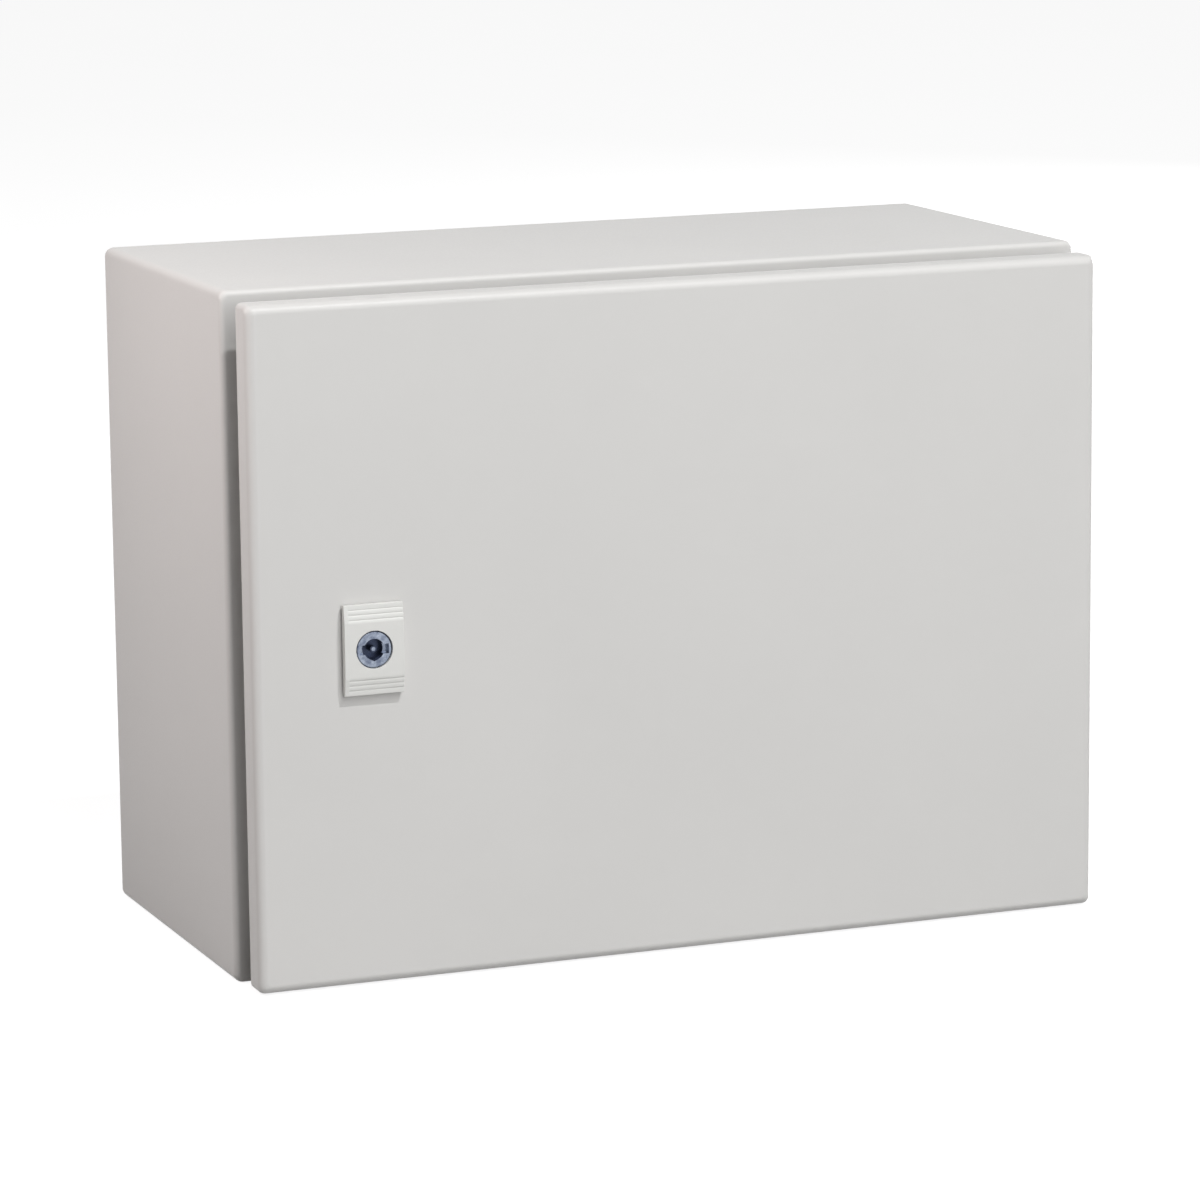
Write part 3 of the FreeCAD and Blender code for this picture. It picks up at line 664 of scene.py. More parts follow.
def opaque(colour, gain=1.0):
    """Colour with full alpha, made darker or lighter by a gain."""
    return (*(min(1.0, gain * channel) for channel in colour), 1.0)


def powder_coat(finishes):
    """Satin powder coat with its fine orange peel."""
    finish = Finish("Light grey powder coat", Specular_IOR_Level=0.3)
    rough = finishes.paint_roughness
    tone = finish.effect("Slow tone", Colour=opaque(finishes.paint), Size=90 * MM, Spread=0.012)
    grain = finish.effect("Fine grain", Size=finishes.paint_grain, Fine_Share=0.3)
    swell = finish.effect("Fine grain", Size=4.5 * MM, Fine_Share=0.1)
    finish.feed("Base Color", tone["Colour"])
    finish.roughness(grain["Mask"], rough - 0.04, rough + 0.05)
    finish.bump((swell["Height"], 0.02 * MM), (grain["Height"], 0.012 * MM))
    return finish.material


def galvanised_sheet(finishes):
    """Galvanised sheet with its crystals and rolling lines."""
    finish = Finish("Galvanised sheet", Metallic=1.0)
    graph = finish.graph
    crystals = graph.output("ShaderNodeTexVoronoi", {
        "Vector": object_place(graph), "Scale": 1 / finishes.spangle, "Randomness": 1.0},
        "Color")
    shade = graph.output("ShaderNodeSeparateColor", {0: crystals})
    tone = finish.effect("Slow tone", Colour=opaque(finishes.zinc), Size=50 * MM, Spread=0.03)
    lines = finish.effect("Brushed lines", Size=0.4 * MM, Stretch=(40.0, 1.0, 1.0))
    dull = graph.spread(shade, 0.0, 1.0, 0.0, 0.45)
    finish.feed("Base Color", finish.mix(dull, tone["Colour"], opaque(finishes.zinc, 0.78)))
    finish.roughness(shade, 0.34, 0.5)
    finish.bump((shade, 0.008 * MM), (lines["Height"], 0.004 * MM))
    return finish.material


def zinc_plating(finishes):
    """Bluish zinc plating on pressed parts, rubbed at its edges."""
    finish = Finish("Zinc plating", Metallic=1.0)
    tone = finish.effect("Slow tone", Colour=opaque(finishes.zinc), Size=12 * MM, Spread=0.05)
    lines = finish.effect("Brushed lines", Size=0.2 * MM, Stretch=(1.0, 1.0, 18.0))
    edges = finish.effect("Rubbed edges", Reach=0.4 * MM, Break_Up=0.6)
    bright = opaque(finishes.zinc, 1.12)
    finish.feed("Base Color", finish.mix(edges["Mask"], tone["Colour"], bright))
    finish.roughness(lines["Mask"], 0.28, 0.42)
    finish.bump((lines["Height"], 0.006 * MM))
    return finish.material


def bright_steel(finishes):
    """Bright fasteners with fine lines from rolling."""
    finish = Finish("Bright steel", Metallic=1.0)
    tone = finish.effect("Slow tone", Colour=opaque(finishes.steel), Size=5 * MM, Spread=0.06)
    lines = finish.effect("Brushed lines", Size=0.15 * MM, Stretch=(1.0, 12.0, 1.0))
    edges = finish.effect("Rubbed edges", Reach=0.25 * MM, Break_Up=0.5)
    bright = opaque(finishes.steel, 1.15)
    finish.feed("Base Color", finish.mix(edges["Mask"], tone["Colour"], bright))
    finish.roughness(lines["Mask"], 0.22, 0.36)
    finish.bump((lines["Height"], 0.004 * MM))
    return finish.material


# painted shade: the nickel darkens towards the cup colour between these depths behind the core's face, standing
# for the shade down in the cup
CUP_SHADE_DEPTHS = (2.2 * MM, 3.4 * MM)  # depths behind the core's face
CUP_DEPTH = 6.5 * MM
CUP_REACH = 5.3 * MM
# painted highlight: the pin's middle keeps the bright nickel, and painted shade sets in over these radii and
# reaches out to the next radius
PIN_HIGHLIGHT_EDGE = (0.7 * MM, 1.0 * MM)  # radii over which the bright middle of the pin ends
PIN_SHADE_REACH = 1.7 * MM


def nickel_plating(finishes):
    """Nickel on the lock's castings, with painted shade down in the cup that the key enters and round the pin,
    whose bright middle is a painted highlight.
    """
    finish = Finish("Nickel plating", Metallic=1.0)
    graph = finish.graph
    from_axis = graph.output("ShaderNodeVectorMath",
                             {0: object_place(graph), 1: tuple(LOCK_AXIS)},
                             operation="SUBTRACT")
    across, along, up = graph.numbers(from_axis)
    radius = graph.output("ShaderNodeVectorMath", {0: graph.vector(across, 0.0, up)}, "Value",
                          operation="LENGTH")
    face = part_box("lock_insert")[0].y - LOCK_AXIS.y
    recess_shade = graph.spread(along, *(face + depth for depth in CUP_SHADE_DEPTHS))
    # painted shade: darker with depth inside the cup, for the shade in its recess
    cup_shade = recess_shade * ((along < face + CUP_DEPTH) * (radius < CUP_REACH))
    # painted shade in a ring round the pin, leaving its middle bright as a painted highlight on the pin's tip
    pin_shade = graph.spread(radius, *PIN_HIGHLIGHT_EDGE) * (radius < PIN_SHADE_REACH)
    tone = finish.effect("Slow tone", Colour=opaque(finishes.nickel), Size=4 * MM, Spread=0.08)
    cloud = finish.effect("Slow tone", Size=2.2 * MM)
    grain = finish.effect("Fine grain", Size=0.35 * MM, Fine_Share=0.4)
    plated = finish.mix(cloud["Mask"], opaque(finishes.tarnish), tone["Colour"])
    # painted shade of the cup and round the pin, laid over the plating
    painted_shade = graph.math("MAXIMUM", cup_shade, pin_shade)
    finish.feed("Base Color", finish.mix(painted_shade, plated, opaque(finishes.cup_shade)))
    finish.roughness(grain["Mask"], 0.24, 0.38)
    finish.bump((grain["Height"], 0.008 * MM))
    return finish.material


def moulded_plastic(finishes):
    """Off-white moulded plastic with a fine spark texture."""
    finish = Finish("Moulded plastic", Specular_IOR_Level=0.5, Subsurface_Weight=0.05,
                    Subsurface_Radius=(1 * MM, 1 * MM, 1 * MM))
    tone = finish.effect("Slow tone", Colour=opaque(finishes.plastic), Size=15 * MM, Spread=0.01)
    grain = finish.effect("Fine grain", Size=0.25 * MM, Fine_Share=0.3)
    finish.feed("Base Color", tone["Colour"])
    finish.roughness(grain["Mask"], 0.42, 0.52)
    finish.bump((grain["Height"], 0.008 * MM))
    return finish.material


PORE_SIZE = 0.8 * MM


def foam(finishes):
    """Closed skin of foamed sealing, with fine pores."""
    finish = Finish("Foamed seal", Specular_IOR_Level=0.35)
    graph = finish.graph
    from_pore = graph.output("ShaderNodeTexVoronoi", {
        "Vector": object_place(graph), "Scale": 1 / PORE_SIZE, "Randomness": 1.0}, "Distance")
    skin = graph.spread(from_pore, 0.1, 0.3)
    tone = finish.effect("Slow tone", Colour=opaque(finishes.foam), Size=18 * MM, Spread=0.1)
    grain = finish.effect("Fine grain", Size=0.5 * MM, Fine_Share=0.4)
    finish.feed("Base Color", finish.mix(skin, opaque(finishes.foam, 0.55), tone["Colour"]))
    finish.roughness(grain["Mask"], 0.7, 0.88)
    finish.bump((skin, 0.05 * MM), (grain["Height"], 0.04 * MM))
    return finish.material


def gasket_rubber(finishes):
    """Matt black rubber with a faint bloom."""
    finish = Finish("Gasket rubber", Specular_IOR_Level=0.4)
    tone = finish.effect("Slow tone", Colour=opaque(finishes.rubber), Size=8 * MM, Spread=0.12)
    grain = finish.effect("Fine grain", Size=0.3 * MM, Fine_Share=0.4)
    finish.feed("Base Color", tone["Colour"])
    finish.roughness(grain["Mask"], 0.6, 0.75)
    finish.bump((grain["Height"], 0.015 * MM))
    return finish.material


MATERIAL_MAKERS = {
    "powder_coat": powder_coat, "galvanised": galvanised_sheet, "zinc_plate": zinc_plating,
    "bright_steel": bright_steel, "die_cast": nickel_plating, "pale_plastic": moulded_plastic,
    "foam_seal": foam, "black_rubber": gasket_rubber,
}
finish_of = {}


# Pieces

def merged(mesh):
    """Working copy of a mesh, with its doubles merged."""
    work = bmesh.new()
    work.from_mesh(mesh)
    bmesh.ops.remove_doubles(work, verts=work.verts, dist=MERGE_DISTANCE)
    return work


def merged_solid(node):
    """Working copy of a solid, with its loose triangles joined."""
    return merged(frame["nodes"][node].data)


def mesh_from(work, name):
    """Smooth mesh of a working copy, without the normals that a solid's triangles came with."""
    for face in work.faces:
        face.smooth = True
    mesh = bpy.data.meshes.new(name)
    work.to_mesh(mesh)
    work.free()
    for attribute in ("custom_normal", "sharp_edge", "sharp_face"):
        if attribute in mesh.attributes:
            mesh.attributes.remove(mesh.attributes[attribute])
    return mesh


def cleaned(mesh):
    """Merges a mesh's doubles, drops loose edges and turns its faces outwards."""
    work = merged(mesh)
    bmesh.ops.dissolve_degenerate(work, edges=work.edges, dist=MERGE_DISTANCE / 4)
    loose = [edge for edge in work.edges if not edge.link_faces]
    bmesh.ops.delete(work, geom=loose, context="EDGES")
    bmesh.ops.recalc_face_normals(work, faces=work.faces)
    work.to_mesh(mesh)
    work.free()
    mesh.set_sharp_from_angle(angle=SMOOTH_ANGLE)
    return mesh


def made_piece(node, mesh, material=None):
    """Object for a mesh that stands in for a solid."""
    if material:
        mesh.materials.append(finish_of[material])
    return bpy.data.objects.new("made_" + node, mesh)


def place_piece(obj, node):
    """Puts a finished piece in the scene in place of a solid, on that solid's body."""
    bpy.context.scene.collection.objects.link(obj)
    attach(obj, BODY_OF[node])
    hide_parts(node)


def keep_faces_flat(obj):
    """Gives a piece's large faces the say over its normals."""
    weights = obj.modifiers.new("Flat faces", "WEIGHTED_NORMAL")
    weights.keep_sharp = True


def soften(obj, width, segments=2, angle=radians(35)):
    """Softens a piece's edges and keeps its flat faces flat."""
    bevel = obj.modifiers.new("Soft edges", "BEVEL")
    bevel.width = width
    bevel.segments = segments
    bevel.limit_method = "ANGLE"
    bevel.angle_limit = angle
    keep_faces_flat(obj)


def soft_edged(node, material, softening):
    """Piece in place of a solid, of the same shape with its edges softened."""
    work = merged_solid(node)
    bmesh.ops.dissolve_limit(work, angle_limit=FLAT_ANGLE, verts=work.verts, edges=work.edges)
    mesh = mesh_from(work, node)
    mesh.materials.append(finish_of[material])
    obj = bpy.data.objects.new("soft_" + node, mesh)
    soften(obj, softening)
    place_piece(obj, node)


def solid_boxes(node):
    """Lowest and highest corner of each separate solid in a node."""
    work = merged_solid(node)
    left = set(work.verts)
    boxes = []
    while left:
        front = [left.pop()]
        island = list(front)
        while front:
            vertex = front.pop()
            for edge in vertex.link_edges:
                other = edge.other_vert(vertex)
                if other in left:
                    left.remove(other)
                    front.append(other)
                    island.append(other)
        places = [vertex.co for vertex in island]
        low = Vector([min(place[axis] for place in places) for axis in range(3)])
        high = Vector([max(place[axis] for place in places) for axis in range(3)])
        boxes.append((low, high))
    work.free()
    return boxes


def starts(node, direction):
    """Where each solid of a node starts along a direction, on its own axis."""
    places = []
    for low, high in solid_boxes(node):
        place = (low + high) / 2
        for axis in range(3):
            if direction[axis]:
                place[axis] = low[axis] if direction[axis] > 0 else high[axis]
        places.append(place)
    return places


def section(node, direction):
    """Radius and length along a direction of a node's first solid."""
    low, high = solid_boxes(node)[0]
    size = high - low
    along = max(range(3), key=lambda axis: abs(direction[axis]))
    across = [size[axis] for axis in range(3) if axis != along]
    return max(across) / 2, size[along]


def as_shaped(obj):
    """Mesh that an object has once its modifiers are worked out."""
    bpy.context.view_layer.update()
    shaped = obj.evaluated_get(bpy.context.evaluated_depsgraph_get())
    return bpy.data.meshes.new_from_object(shaped)


def grown(node, tree_name, direction, material, values):
    """Piece that a node tree makes at the places of a node's solids."""
    points = bpy.data.meshes.new(node)
    points.from_pydata([tuple(place) for place in starts(node, direction)], [], [])
    maker = bpy.data.objects.new(node, points)
    bpy.context.scene.collection.objects.link(maker)
    modifier = maker.modifiers.new("Maker", "NODES")
    tree = bpy.data.node_groups[tree_name]
    modifier.node_group = tree
    given = {"Direction": direction, "Material": finish_of[material], **values}
    for item in tree.interface.items_tree:
        if item.in_out == "INPUT" and item.name in given:
            modifier[item.identifier] = given[item.name]
    mesh = as_shaped(maker)
    if not mesh.polygons:
        raise RuntimeError("the tree " + tree_name + " made nothing for " + node)
    bpy.data.objects.remove(maker)
    bpy.data.meshes.remove(points)
    mesh.name = node
    return made_piece(node, cleaned(mesh))


def thread_depth(pitch):
    """Depth of a metric thread."""
    return 0.61 * pitch


def skinned(name, rows, capped):
    """Mesh of the faces between rows of points: loops with capped ends, or a ring of rows."""
    work = bmesh.new()
    placed = [[work.verts.new(point) for point in row] for row in rows]
    width = len(placed[0])
    if capped:
        for row, after in zip(placed, placed[1:]):
            for number in range(width):
                beside = (number + 1) % width
                work.faces.new((row[number], row[beside], after[beside], after[number]))
        work.faces.new(placed[0])
        work.faces.new(placed[-1])
        bmesh.ops.recalc_face_normals(work, faces=work.faces)
    else:
        for row, after in zip(placed, placed[1:] + placed[:1]):
            for number in range(width - 1):
                beside = number + 1
                work.faces.new((row[number], row[beside], after[beside], after[number]))
    return mesh_from(work, name)


def round_lock(radius, along, turn, flat=None):
    """Point round the lock's axis, at a share of a full turn, held between two flats."""
    x, z = radius * cos(FULL_TURN * turn), radius * sin(FULL_TURN * turn)
    if flat is not None:
        x = min(max(x, -flat), flat)
    return (LOCK_AXIS.x + x, along, LOCK_AXIS.z + z)


HOUSING_AROUND = 64
BORE_AROUND = 96
BORE_SPARE = 1 * MM
GROOVES = 3


def threaded_housing(lock):
    """Lock housing with a flange, a thread with two flats and the bore for the core."""
    low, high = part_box("lock_housing")
    flange_radius = (high.x - low.x) / 2
    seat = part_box("lock_gasket")[0].y
    flange = seat - lock.flange_height
    bore_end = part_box("lock_insert")[0].y + lock.bore_depth
    chamfer = lock.flange_chamfer
    turns = [column / HOUSING_AROUND for column in range(HOUSING_AROUND + 1)]

    def rings(rows):
        """Points of level rings, each given as a radius and a place along the axis."""
        return [[round_lock(radius, along, turn) for turn in turns] for radius, along in rows]

    rows = rings([(lock.bore_radius, low.y), (lock.barrel_radius - chamfer, low.y),
                  (lock.barrel_radius, low.y + chamfer / 2), (lock.barrel_radius, flange),
                  (flange_radius - chamfer, flange), (flange_radius, flange + chamfer),
                  (flange_radius, seat)])
    half_turns = int((high.y - seat) / (lock.barrel_pitch / 2)) + 3
    for half_turn in range(half_turns):
        depth = thread_depth(lock.barrel_pitch) if half_turn % 2 else 0.0
        row = []
        for turn in turns:
            climb = lock.barrel_pitch * (half_turn / 2 - 1 + turn)
            along = min(max(seat + climb, seat), high.y)
            radius = lock.barrel_radius
            if seat < along < high.y - lock.run_out:
                radius -= depth
            radius = min(radius, lock.barrel_radius - lock.barrel_chamfer + high.y - along)
            row.append(round_lock(radius, along, turn, lock.barrel_flat))
        rows.append(row)
    rows += rings([(lock.tail_radius, high.y), (lock.tail_radius, bore_end),
                   (lock.bore_radius, bore_end)])
    return cleaned(skinned("lock_housing", rows, False))


def lock_plate(lock):
    """Plate round the lock: flat in the middle, sloped and grooved at both ends, and bored."""
    low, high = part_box("lock_escutcheon")
    half = (high.z - low.z) / 2
    middle = (high.z + low.z) / 2
    depth = high.y - low.y
    slope = (depth - lock.plate_end) / (half - lock.plate_flat)

    def front(up):
        """How far the plate stands out at a height from its middle."""
        return depth - slope * max(abs(up) - lock.plate_flat, 0.0)

    lines = [(lock.plate_flat, depth, 0.0)]
    for number in range(GROOVES):
        groove = half - lock.groove_pitch * (number + 1)
        for step, share in ((-0.5, 0.0), (-0.2, 1.0), (0.2, 1.0), (0.5, 0.0)):
            up = groove + step * lock.groove_width
            lines.append((up, front(up), share))
    lines = sorted(lines) + [(half, front(half), 0.0), (half, 0.0, 0.0)]
    outline = [(-up, out, share) for up, out, share in reversed(lines)] + lines
    start = low.x + lock.groove_margin
    columns = ((low.x, 0.0), (start, 0.0), (start + lock.groove_ramp, 1.0), (high.x, 1.0))
    rows = [[(x, high.y - out + share * cut * lock.groove_depth, middle + up)
             for up, out, share in outline] for x, cut in columns]
    plate = bpy.data.objects.new("lock_plate", skinned("lock_plate", rows, True))

    face, recess = low.y + lock.face_wall, high.y - lock.flange_height - lock.flange_gap
    barrel = lock.barrel_radius + lock.barrel_gap
    bore = ((lock.face_bore, low.y - BORE_SPARE), (lock.face_bore, face), (barrel, face),
            (barrel, recess), (lock.flange_room, recess), (lock.flange_room, high.y + BORE_SPARE))
    rows = [[round_lock(radius, along, step / BORE_AROUND) for step in range(BORE_AROUND)]
            for radius, along in bore]
    cutter = bpy.data.objects.new("lock_plate_bore", skinned("lock_plate_bore", rows, True))
    for obj in (plate, cutter):
        bpy.context.scene.collection.objects.link(obj)
    cut = plate.modifiers.new("Bore", "BOOLEAN")
    cut.object = cutter
    cut.solver = "EXACT"
    bored = as_shaped(plate)
    for obj in (plate, cutter):
        bpy.data.objects.remove(obj)
    return bored


def sharpened_corners(mesh, rounded, sharper):
    """Draws the four rounded corners of a door's outline out to a smaller radius."""
    xs = [vertex.co.x for vertex in mesh.vertices]
    zs = [vertex.co.z for vertex in mesh.vertices]
    middle = Vector(((max(xs) + min(xs)) / 2, 0.0, (max(zs) + min(zs)) / 2))
    reach_x = (max(xs) - min(xs)) / 2 - rounded
    reach_z = (max(zs) - min(zs)) / 2 - rounded
    shift = rounded - sharper
    for vertex in mesh.vertices:
        from_middle = vertex.co - middle
        dx = abs(from_middle.x) - reach_x
        dz = abs(from_middle.z) - reach_z
        if dx <= 0 or dz <= 0:
            continue
        length = hypot(dx, dz)
        ux, uz = dx / length, dz / length
        along = shift * (ux + uz)
        to_edge = along + sqrt(max(along * along - 2 * shift * shift + sharper * sharper, 0.0))
        if to_edge * ux < shift or to_edge * uz < shift:
            to_edge = rounded / max(ux, uz)
        grow = to_edge / rounded
        vertex.co.x = middle.x + (reach_x + dx * grow) * (1 if from_middle.x > 0 else -1)
        vertex.co.z = middle.z + (reach_z + dz * grow) * (1 if from_middle.z > 0 else -1)


class ENCLOSURE_OT_finishes(bpy.types.Operator):
    """Build the shared effects and the finishes"""

    bl_idname = "enclosure.finishes"
    bl_label = "Finishes"

    def execute(self, context):
        for make in (grain_group, tone_group, brushed_group, edge_group):
            make()
        for name, make in MATERIAL_MAKERS.items():
            finish_of[name] = make(context.scene.enclosure_finishes)
        return {"FINISHED"}


class ENCLOSURE_OT_trees(bpy.types.Operator):
    """Build the trees that make threads, nuts and the foamed seal"""

    bl_idname = "enclosure.trees"
    bl_label = "Makers"

    def execute(self, context):
        for make in (threaded_rod_tree, hex_nut_tree, foam_bead_tree):
            make()
        return {"FINISHED"}


class ENCLOSURE_OT_sheet(bpy.types.Operator):
    """Powder-coat the folded body, rear panel and door"""

    bl_idname = "enclosure.sheet"
    bl_label = "Painted Sheet"

    def execute(self, context):
        for node in ("body_wrap", "rear_panel"):
            mesh = frame["nodes"][node].data
            mesh.materials.clear()
            mesh.materials.append(finish_of["powder_coat"])
        finishes = context.scene.enclosure_finishes
        mesh = mesh_from(merged_solid("door_panel"), "door_panel")
        sharpened_corners(mesh, finishes.door_rounding, finishes.door_corner)
        mesh.set_sharp_from_angle(angle=SMOOTH_ANGLE)
        door = made_piece("door_panel", mesh, "powder_coat")
        keep_faces_flat(door)
        place_piece(door, "door_panel")
        return {"FINISHED"}


class ENCLOSURE_OT_plates(bpy.types.Operator):
    """Finish the mounting plate and the gland plate with its gasket"""

    bl_idname = "enclosure.plates"
    bl_label = "Inner Plates"

    def execute(self, context):
        edge = context.scene.enclosure_fasteners.sheared_edge
        soft_edged("mounting_plate", "galvanised", edge)
        soft_edged("gland_plate", "galvanised", edge)
        soft_edged("gland_gasket", "foam_seal", edge)
        return {"FINISHED"}


class ENCLOSURE_OT_seal(bpy.types.Operator):
    """Foam the seal inside the door"""

    bl_idname = "enclosure.seal"
    bl_label = "Door Seal"

    def execute(self, context):
        seal = context.scene.enclosure_seal
        low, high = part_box("door_seal")
        size = high - low
        middle = (low + high) / 2
        obj = grown("door_seal", "Foam bead", BACK, "foam_seal", {
            "Width": size.x - seal.bead_width, "Height": size.z - seal.bead_width,
            "Corner Radius": seal.corner, "Bead Width": seal.bead_width,
            "Bead Height": size.y, "Dent Width": seal.dent_width,
            "Dent Depth": seal.dent_depth, "Ripple": seal.ripple,
            "Ripple Size": seal.ripple_size, "Step": seal.step, "Seed": seal.seed})
        turn = Matrix.Rotation(radians(90), 4, "X")
        obj.data.transform(Matrix.Translation((middle.x, low.y, middle.z)) @ turn)
        place_piece(obj, "door_seal")
        return {"FINISHED"}


class ENCLOSURE_OT_studs(bpy.types.Operator):
    """Cut the threads of the welded studs"""

    bl_idname = "enclosure.studs"
    bl_label = "Studs"

    def execute(self, context):
        sizes = context.scene.enclosure_fasteners
        pitches = {4: sizes.pitch_m4, 6: sizes.pitch_m6, 8: sizes.pitch_m8}
        jobs = (
            ("plate_studs", OUT, 8, sizes.plate_shoulder),
            ("gland_studs", UP, 6, 0.0),
            ("body_earth_stud", OUT, 6, sizes.earth_collar),
            ("door_earth_stud", BACK, 6, sizes.earth_collar),
            ("leaf_studs", BACK, 4, 0.0),
        )
        for node, direction, diameter, shoulder in jobs:
            widest, length = section(node, direction)
            pitch = pitches[diameter]
            place_piece(grown(node, "Threaded rod", direction, "bright_steel", {
                "Radius": diameter / 2 * MM, "Pitch": pitch,
                "Thread Depth": thread_depth(pitch), "Length": length,
                "Tip Chamfer": sizes.tip_chamfer, "Shoulder Radius": widest,
                "Shoulder Height": shoulder,
                "Shoulder Edge": sizes.shoulder_edge if shoulder else 0.0}), node)
        return {"FINISHED"}


COUNTERSINK_SHARE = 0.04


class ENCLOSURE_OT_nuts(bpy.types.Operator):
    """Set the hexagon nuts on their studs"""

    bl_idname = "enclosure.nuts"
    bl_label = "Nuts"

    def execute(self, context):
        sizes = context.scene.enclosure_fasteners
        jobs = (
            ("plate_nuts", OUT, sizes.nut_m8, 8), ("gland_nuts", UP, sizes.nut_m6, 6),
            ("body_earth_nut", OUT, sizes.nut_m6, 6), ("door_earth_nut", BACK, sizes.nut_m6, 6),
            ("leaf_nuts", BACK, sizes.nut_m4, 4), ("lock_nut", BACK, sizes.lock_nut, 20),
        )
        for number, (node, direction, flats, diameter) in enumerate(jobs):
            height = section(node, direction)[1]
            place_piece(grown(node, "Hexagon nut", direction, "bright_steel", {
                "Across Flats": flats, "Height": height, "Bore Radius": diameter / 2 * MM,
                "Countersink": COUNTERSINK_SHARE * flats,
                "Turn": 0.0 if node == "lock_nut" else 1.0,
                "Seed": sizes.turn_seed + number}), node)
        return {"FINISHED"}


class ENCLOSURE_OT_washers(bpy.types.Operator):
    """Soften the washers and the cam's screw"""

    bl_idname = "enclosure.washers"
    bl_label = "Washers"

    def execute(self, context):
        edge = context.scene.enclosure_fasteners.moulded_edge
        for node in ("plate_washers", "body_earth_washer", "door_earth_washer", "cam_washer",
                     "cam_screw"):
            soft_edged(node, "bright_steel", edge)
        return {"FINISHED"}


class ENCLOSURE_OT_hinges(bpy.types.Operator):
    """Finish the two concealed hinges"""

    bl_idname = "enclosure.hinges"
    bl_label = "Hinges"

    def execute(self, context):
        edge = context.scene.enclosure_fasteners.moulded_edge
        for place in ("upper", "lower"):
            soft_edged(place + "_hinge_bracket", "zinc_plate", edge)
            soft_edged(place + "_hinge_leaf", "zinc_plate", edge)
            soft_edged(place + "_hinge_pin", "bright_steel", edge)
        return {"FINISHED"}


PLATE_SOFT_STEPS = 3
PLATE_SOFT_ANGLE = radians(62)


class ENCLOSURE_OT_lock(bpy.types.Operator):
    """Finish the lock plate, gasket, housing, core and cam"""

    bl_idname = "enclosure.lock"
    bl_label = "Lock"

    def execute(self, context):
        lock = context.scene.enclosure_lock
        edge = context.scene.enclosure_fasteners.moulded_edge
        plate = made_piece("lock_escutcheon", lock_plate(lock), "pale_plastic")
        soften(plate, edge, PLATE_SOFT_STEPS, PLATE_SOFT_ANGLE)
        place_piece(plate, "lock_escutcheon")
        soft_edged("lock_gasket", "black_rubber", edge)
        housing = made_piece("lock_housing", threaded_housing(lock), "die_cast")
        place_piece(housing, "lock_housing")
        soft_edged("lock_insert", "die_cast", edge / 2)
        soft_edged("lock_cam", "zinc_plate", edge)
        return {"FINISHED"}


# Stage

AIM = (0.0, -0.1, 0.0)
LEFT_SIDE = (-0.2, -0.1, 0.06)
PLAIN_LIGHT = (1.0, 1.0, 1.0)
WARM_LIGHT = (1.0, 0.90, 0.88)
# place, target, size and colour of each lamp, whose power is a setting of the studio
LAMPS = {
    "key": ((0.65, -1.75, 2.6), AIM, 0.12, PLAIN_LIGHT),
    "upper": ((0.0, -2.4, 2.0), AIM, 1.2, PLAIN_LIGHT),
    "front": ((0.35, -3.0, 0.7), AIM, 1.3, PLAIN_LIGHT),
    "side": ((-0.55, -0.13, 0.27), LEFT_SIDE, 0.2, WARM_LIGHT),
    "back": ((2.4, 1.9, 0.15), AIM, 0.5, PLAIN_LIGHT),
}
FLOOR_REACH = 6.0
SENSOR_WIDTH = 36.0
VIEW_REACH = 50.0


def area_lamp(name, power, place, target, size, colour):
    """Square lamp that looks at a point."""
    lamp = bpy.data.lights.new(name, "AREA")
    lamp.shape = "SQUARE"
    lamp.size = size
    lamp.energy = power
    lamp.color = colour
    obj = bpy.data.objects.new(name, lamp)
    obj.location = place
    obj.rotation_euler = (Vector(target) - Vector(place)).to_track_quat("-Z", "Y").to_euler()
    obj.visible_camera = False
    bpy.context.scene.collection.objects.link(obj)


def seen_directly(graph):
    """1 for rays from the camera, and for those that metal or glass passes on."""
    rays = ("Is Camera Ray", "Is Glossy Ray", "Is Transmission Ray")
    path = graph.node("ShaderNodeLightPath").outputs
    camera, glossy, passed = (Output(graph, path[ray]) for ray in rays)
    return graph.math("MAXIMUM", graph.math("MAXIMUM", camera, glossy), passed)


def floor_material(grey, own_light):
    """Pale floor that shows white, keeps shadows, and throws little light back."""
    material, graph = bare_material("Floor")
    cloud = graph.output("ShaderNodeTexNoise", {"Vector": object_place(graph), "Scale": 3.0})
    tone = graph.spread(cloud, 0.0, 1.0, grey - 0.01, grey + 0.01)
    matt = graph.output("ShaderNodeBsdfDiffuse", {"Color": graph.grey(tone)})
    glow = graph.output("ShaderNodeEmission", {"Color": WHITE, "Strength": own_light})
    bright = graph.output("ShaderNodeAddShader", {0: matt, 1: glow})
    either = graph.output("ShaderNodeMixShader", {0: seen_directly(graph), 1: matt, 2: bright})
    graph.node("ShaderNodeOutputMaterial", {0: either})
    return material


def room(world, sky, ground):
    """World that is white where it is seen, and lights softly from above."""
    world.use_nodes = True
    world.node_tree.nodes.clear()
    graph = Graph(world.node_tree)
    height = graph.numbers(graph.output("ShaderNodeTexCoord", output="Generated"))[2]
    level = graph.spread(height, -0.5, 0.7, ground, sky)
    soft = graph.output("ShaderNodeBackground", {"Color": graph.grey(level), "Strength": 1.0})
    white = graph.output("ShaderNodeBackground", {"Color": WHITE, "Strength": 1.0})
    either = graph.output("ShaderNodeMixShader", {0: seen_directly(graph), 1: soft, 2: white})
    graph.node("ShaderNodeOutputWorld", {0: either})


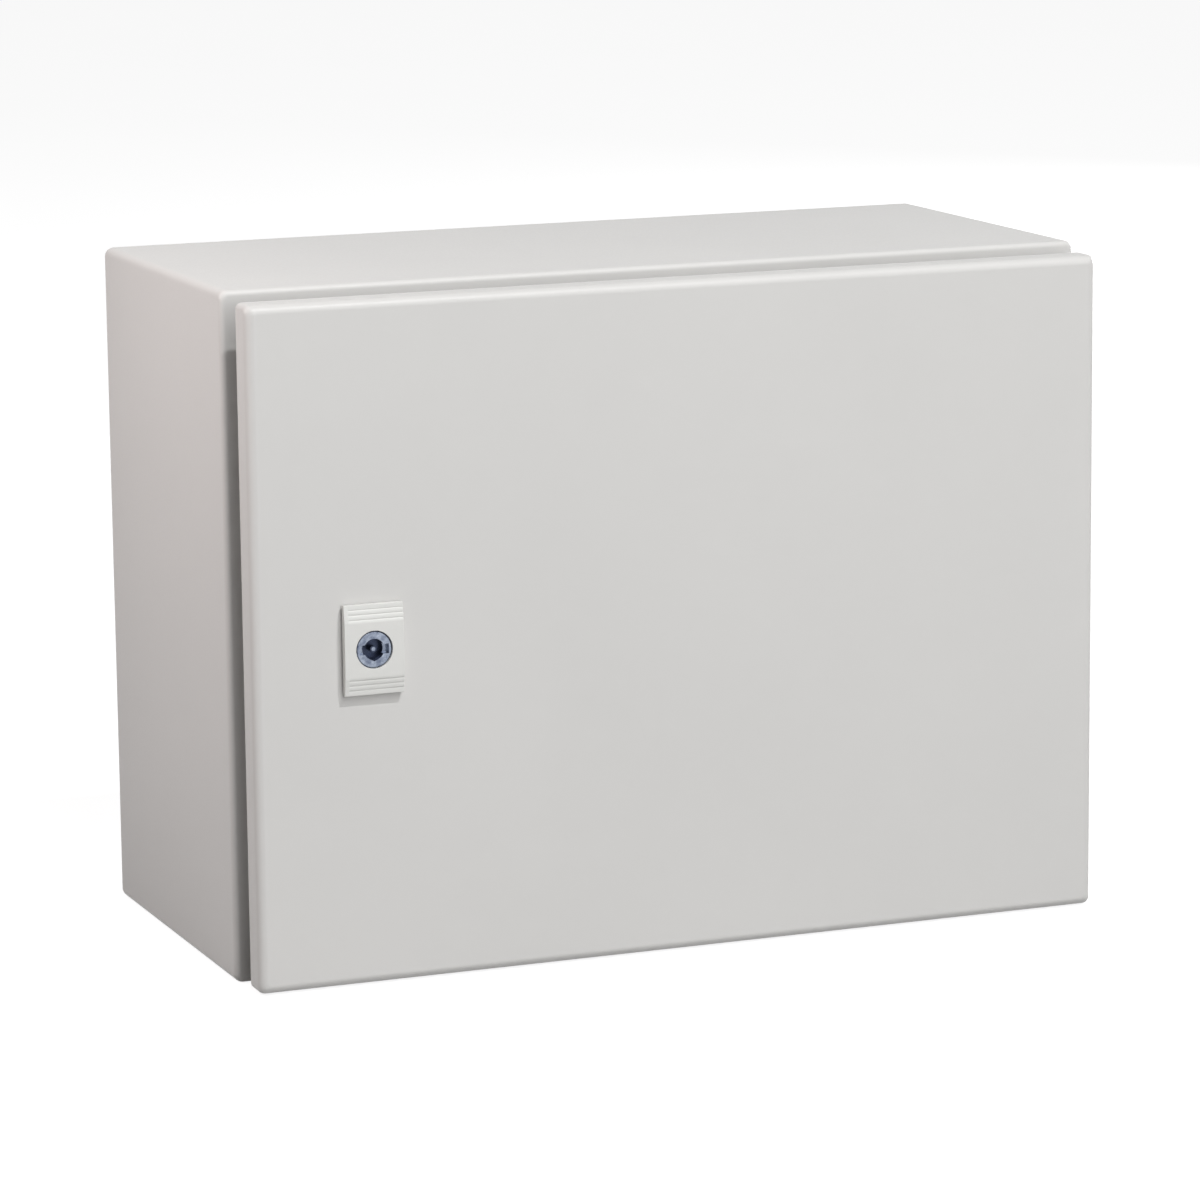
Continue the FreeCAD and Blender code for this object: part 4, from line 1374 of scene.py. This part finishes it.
class ENCLOSURE_OT_stage(bpy.types.Operator):
    """Set up the floor, lamps, room and camera"""

    bl_idname = "enclosure.stage"
    bl_label = "Stage"

    def execute(self, context):
        scene = context.scene
        studio = scene.enclosure_studio
        mesh = bpy.data.meshes.new("floor")
        corners = ((-1, -1), (1, -1), (1, 1), (-1, 1))
        mesh.from_pydata([(x * FLOOR_REACH, y * FLOOR_REACH, cad_box[0][2])
                          for x, y in corners], [], [(0, 1, 2, 3)])
        mesh.materials.append(floor_material(studio.floor_grey, studio.floor_light))
        floor = bpy.data.objects.new("floor", mesh)
        scene.collection.objects.link(floor)

        for name, values in LAMPS.items():
            area_lamp(name + " lamp", getattr(studio, name + "_power"), *values)
        scene.world = scene.world or bpy.data.worlds.new("Room")
        room(scene.world, studio.sky, studio.ground)

        camera = bpy.data.cameras.new("camera")
        camera.sensor_width = SENSOR_WIDTH
        camera.lens = studio.lens
        camera.clip_end = VIEW_REACH
        obj = bpy.data.objects.new("camera", camera)
        turn = Matrix.Rotation(-studio.camera_turn, 4, "Z")
        dip = Matrix.Rotation(radians(90) - studio.camera_dip, 4, "X")
        roll = Matrix.Rotation(studio.camera_roll, 4, "Z")
        obj.matrix_world = Matrix.Translation(studio.camera_place) @ turn @ dip @ roll
        scene.collection.objects.link(obj)
        scene.camera = obj
        scene.view_settings.view_transform = "Standard"
        return {"FINISHED"}


STEPS = (
    ENCLOSURE_OT_finishes, ENCLOSURE_OT_trees, ENCLOSURE_OT_sheet, ENCLOSURE_OT_plates,
    ENCLOSURE_OT_seal, ENCLOSURE_OT_studs, ENCLOSURE_OT_nuts, ENCLOSURE_OT_washers,
    ENCLOSURE_OT_hinges, ENCLOSURE_OT_lock, ENCLOSURE_OT_stage,
)
SETTINGS = {
    "enclosure_finishes": EnclosureFinishes, "enclosure_fasteners": EnclosureFasteners,
    "enclosure_lock": EnclosureLock, "enclosure_seal": EnclosureSeal,
    "enclosure_studio": EnclosureStudio,
}


class ENCLOSURE_PT_panel(bpy.types.Panel):
    """Steps and settings of the enclosure"""

    bl_idname = "ENCLOSURE_PT_panel"
    bl_label = "Wall Enclosure"
    bl_space_type = "VIEW_3D"
    bl_region_type = "UI"
    bl_category = "Enclosure"

    def draw(self, context):
        column = self.layout.column(align=True)
        for step in STEPS:
            column.operator(step.bl_idname)
        for name, group in SETTINGS.items():
            box = self.layout.box()
            box.label(text=group.__doc__)
            settings = getattr(context.scene, name)
            for setting in group.__annotations__:
                box.prop(settings, setting)


def register():
    """Makes the settings, steps and panel known."""
    for name, group in SETTINGS.items():
        bpy.utils.register_class(group)
        setattr(bpy.types.Scene, name, PointerProperty(type=group))
    for kind in (*STEPS, ENCLOSURE_PT_panel):
        bpy.utils.register_class(kind)


def unregister():
    """Removes them again."""
    for kind in reversed((*STEPS, ENCLOSURE_PT_panel)):
        bpy.utils.unregister_class(kind)
    for name, group in reversed(SETTINGS.items()):
        delattr(bpy.types.Scene, name)
        bpy.utils.unregister_class(group)


def main():
    """Registers the add-on and runs its steps in order."""
    register()
    for step in STEPS:
        family, name = step.bl_idname.split(".")
        getattr(getattr(bpy.ops, family), name)()


if __name__ == "__main__":
    main()
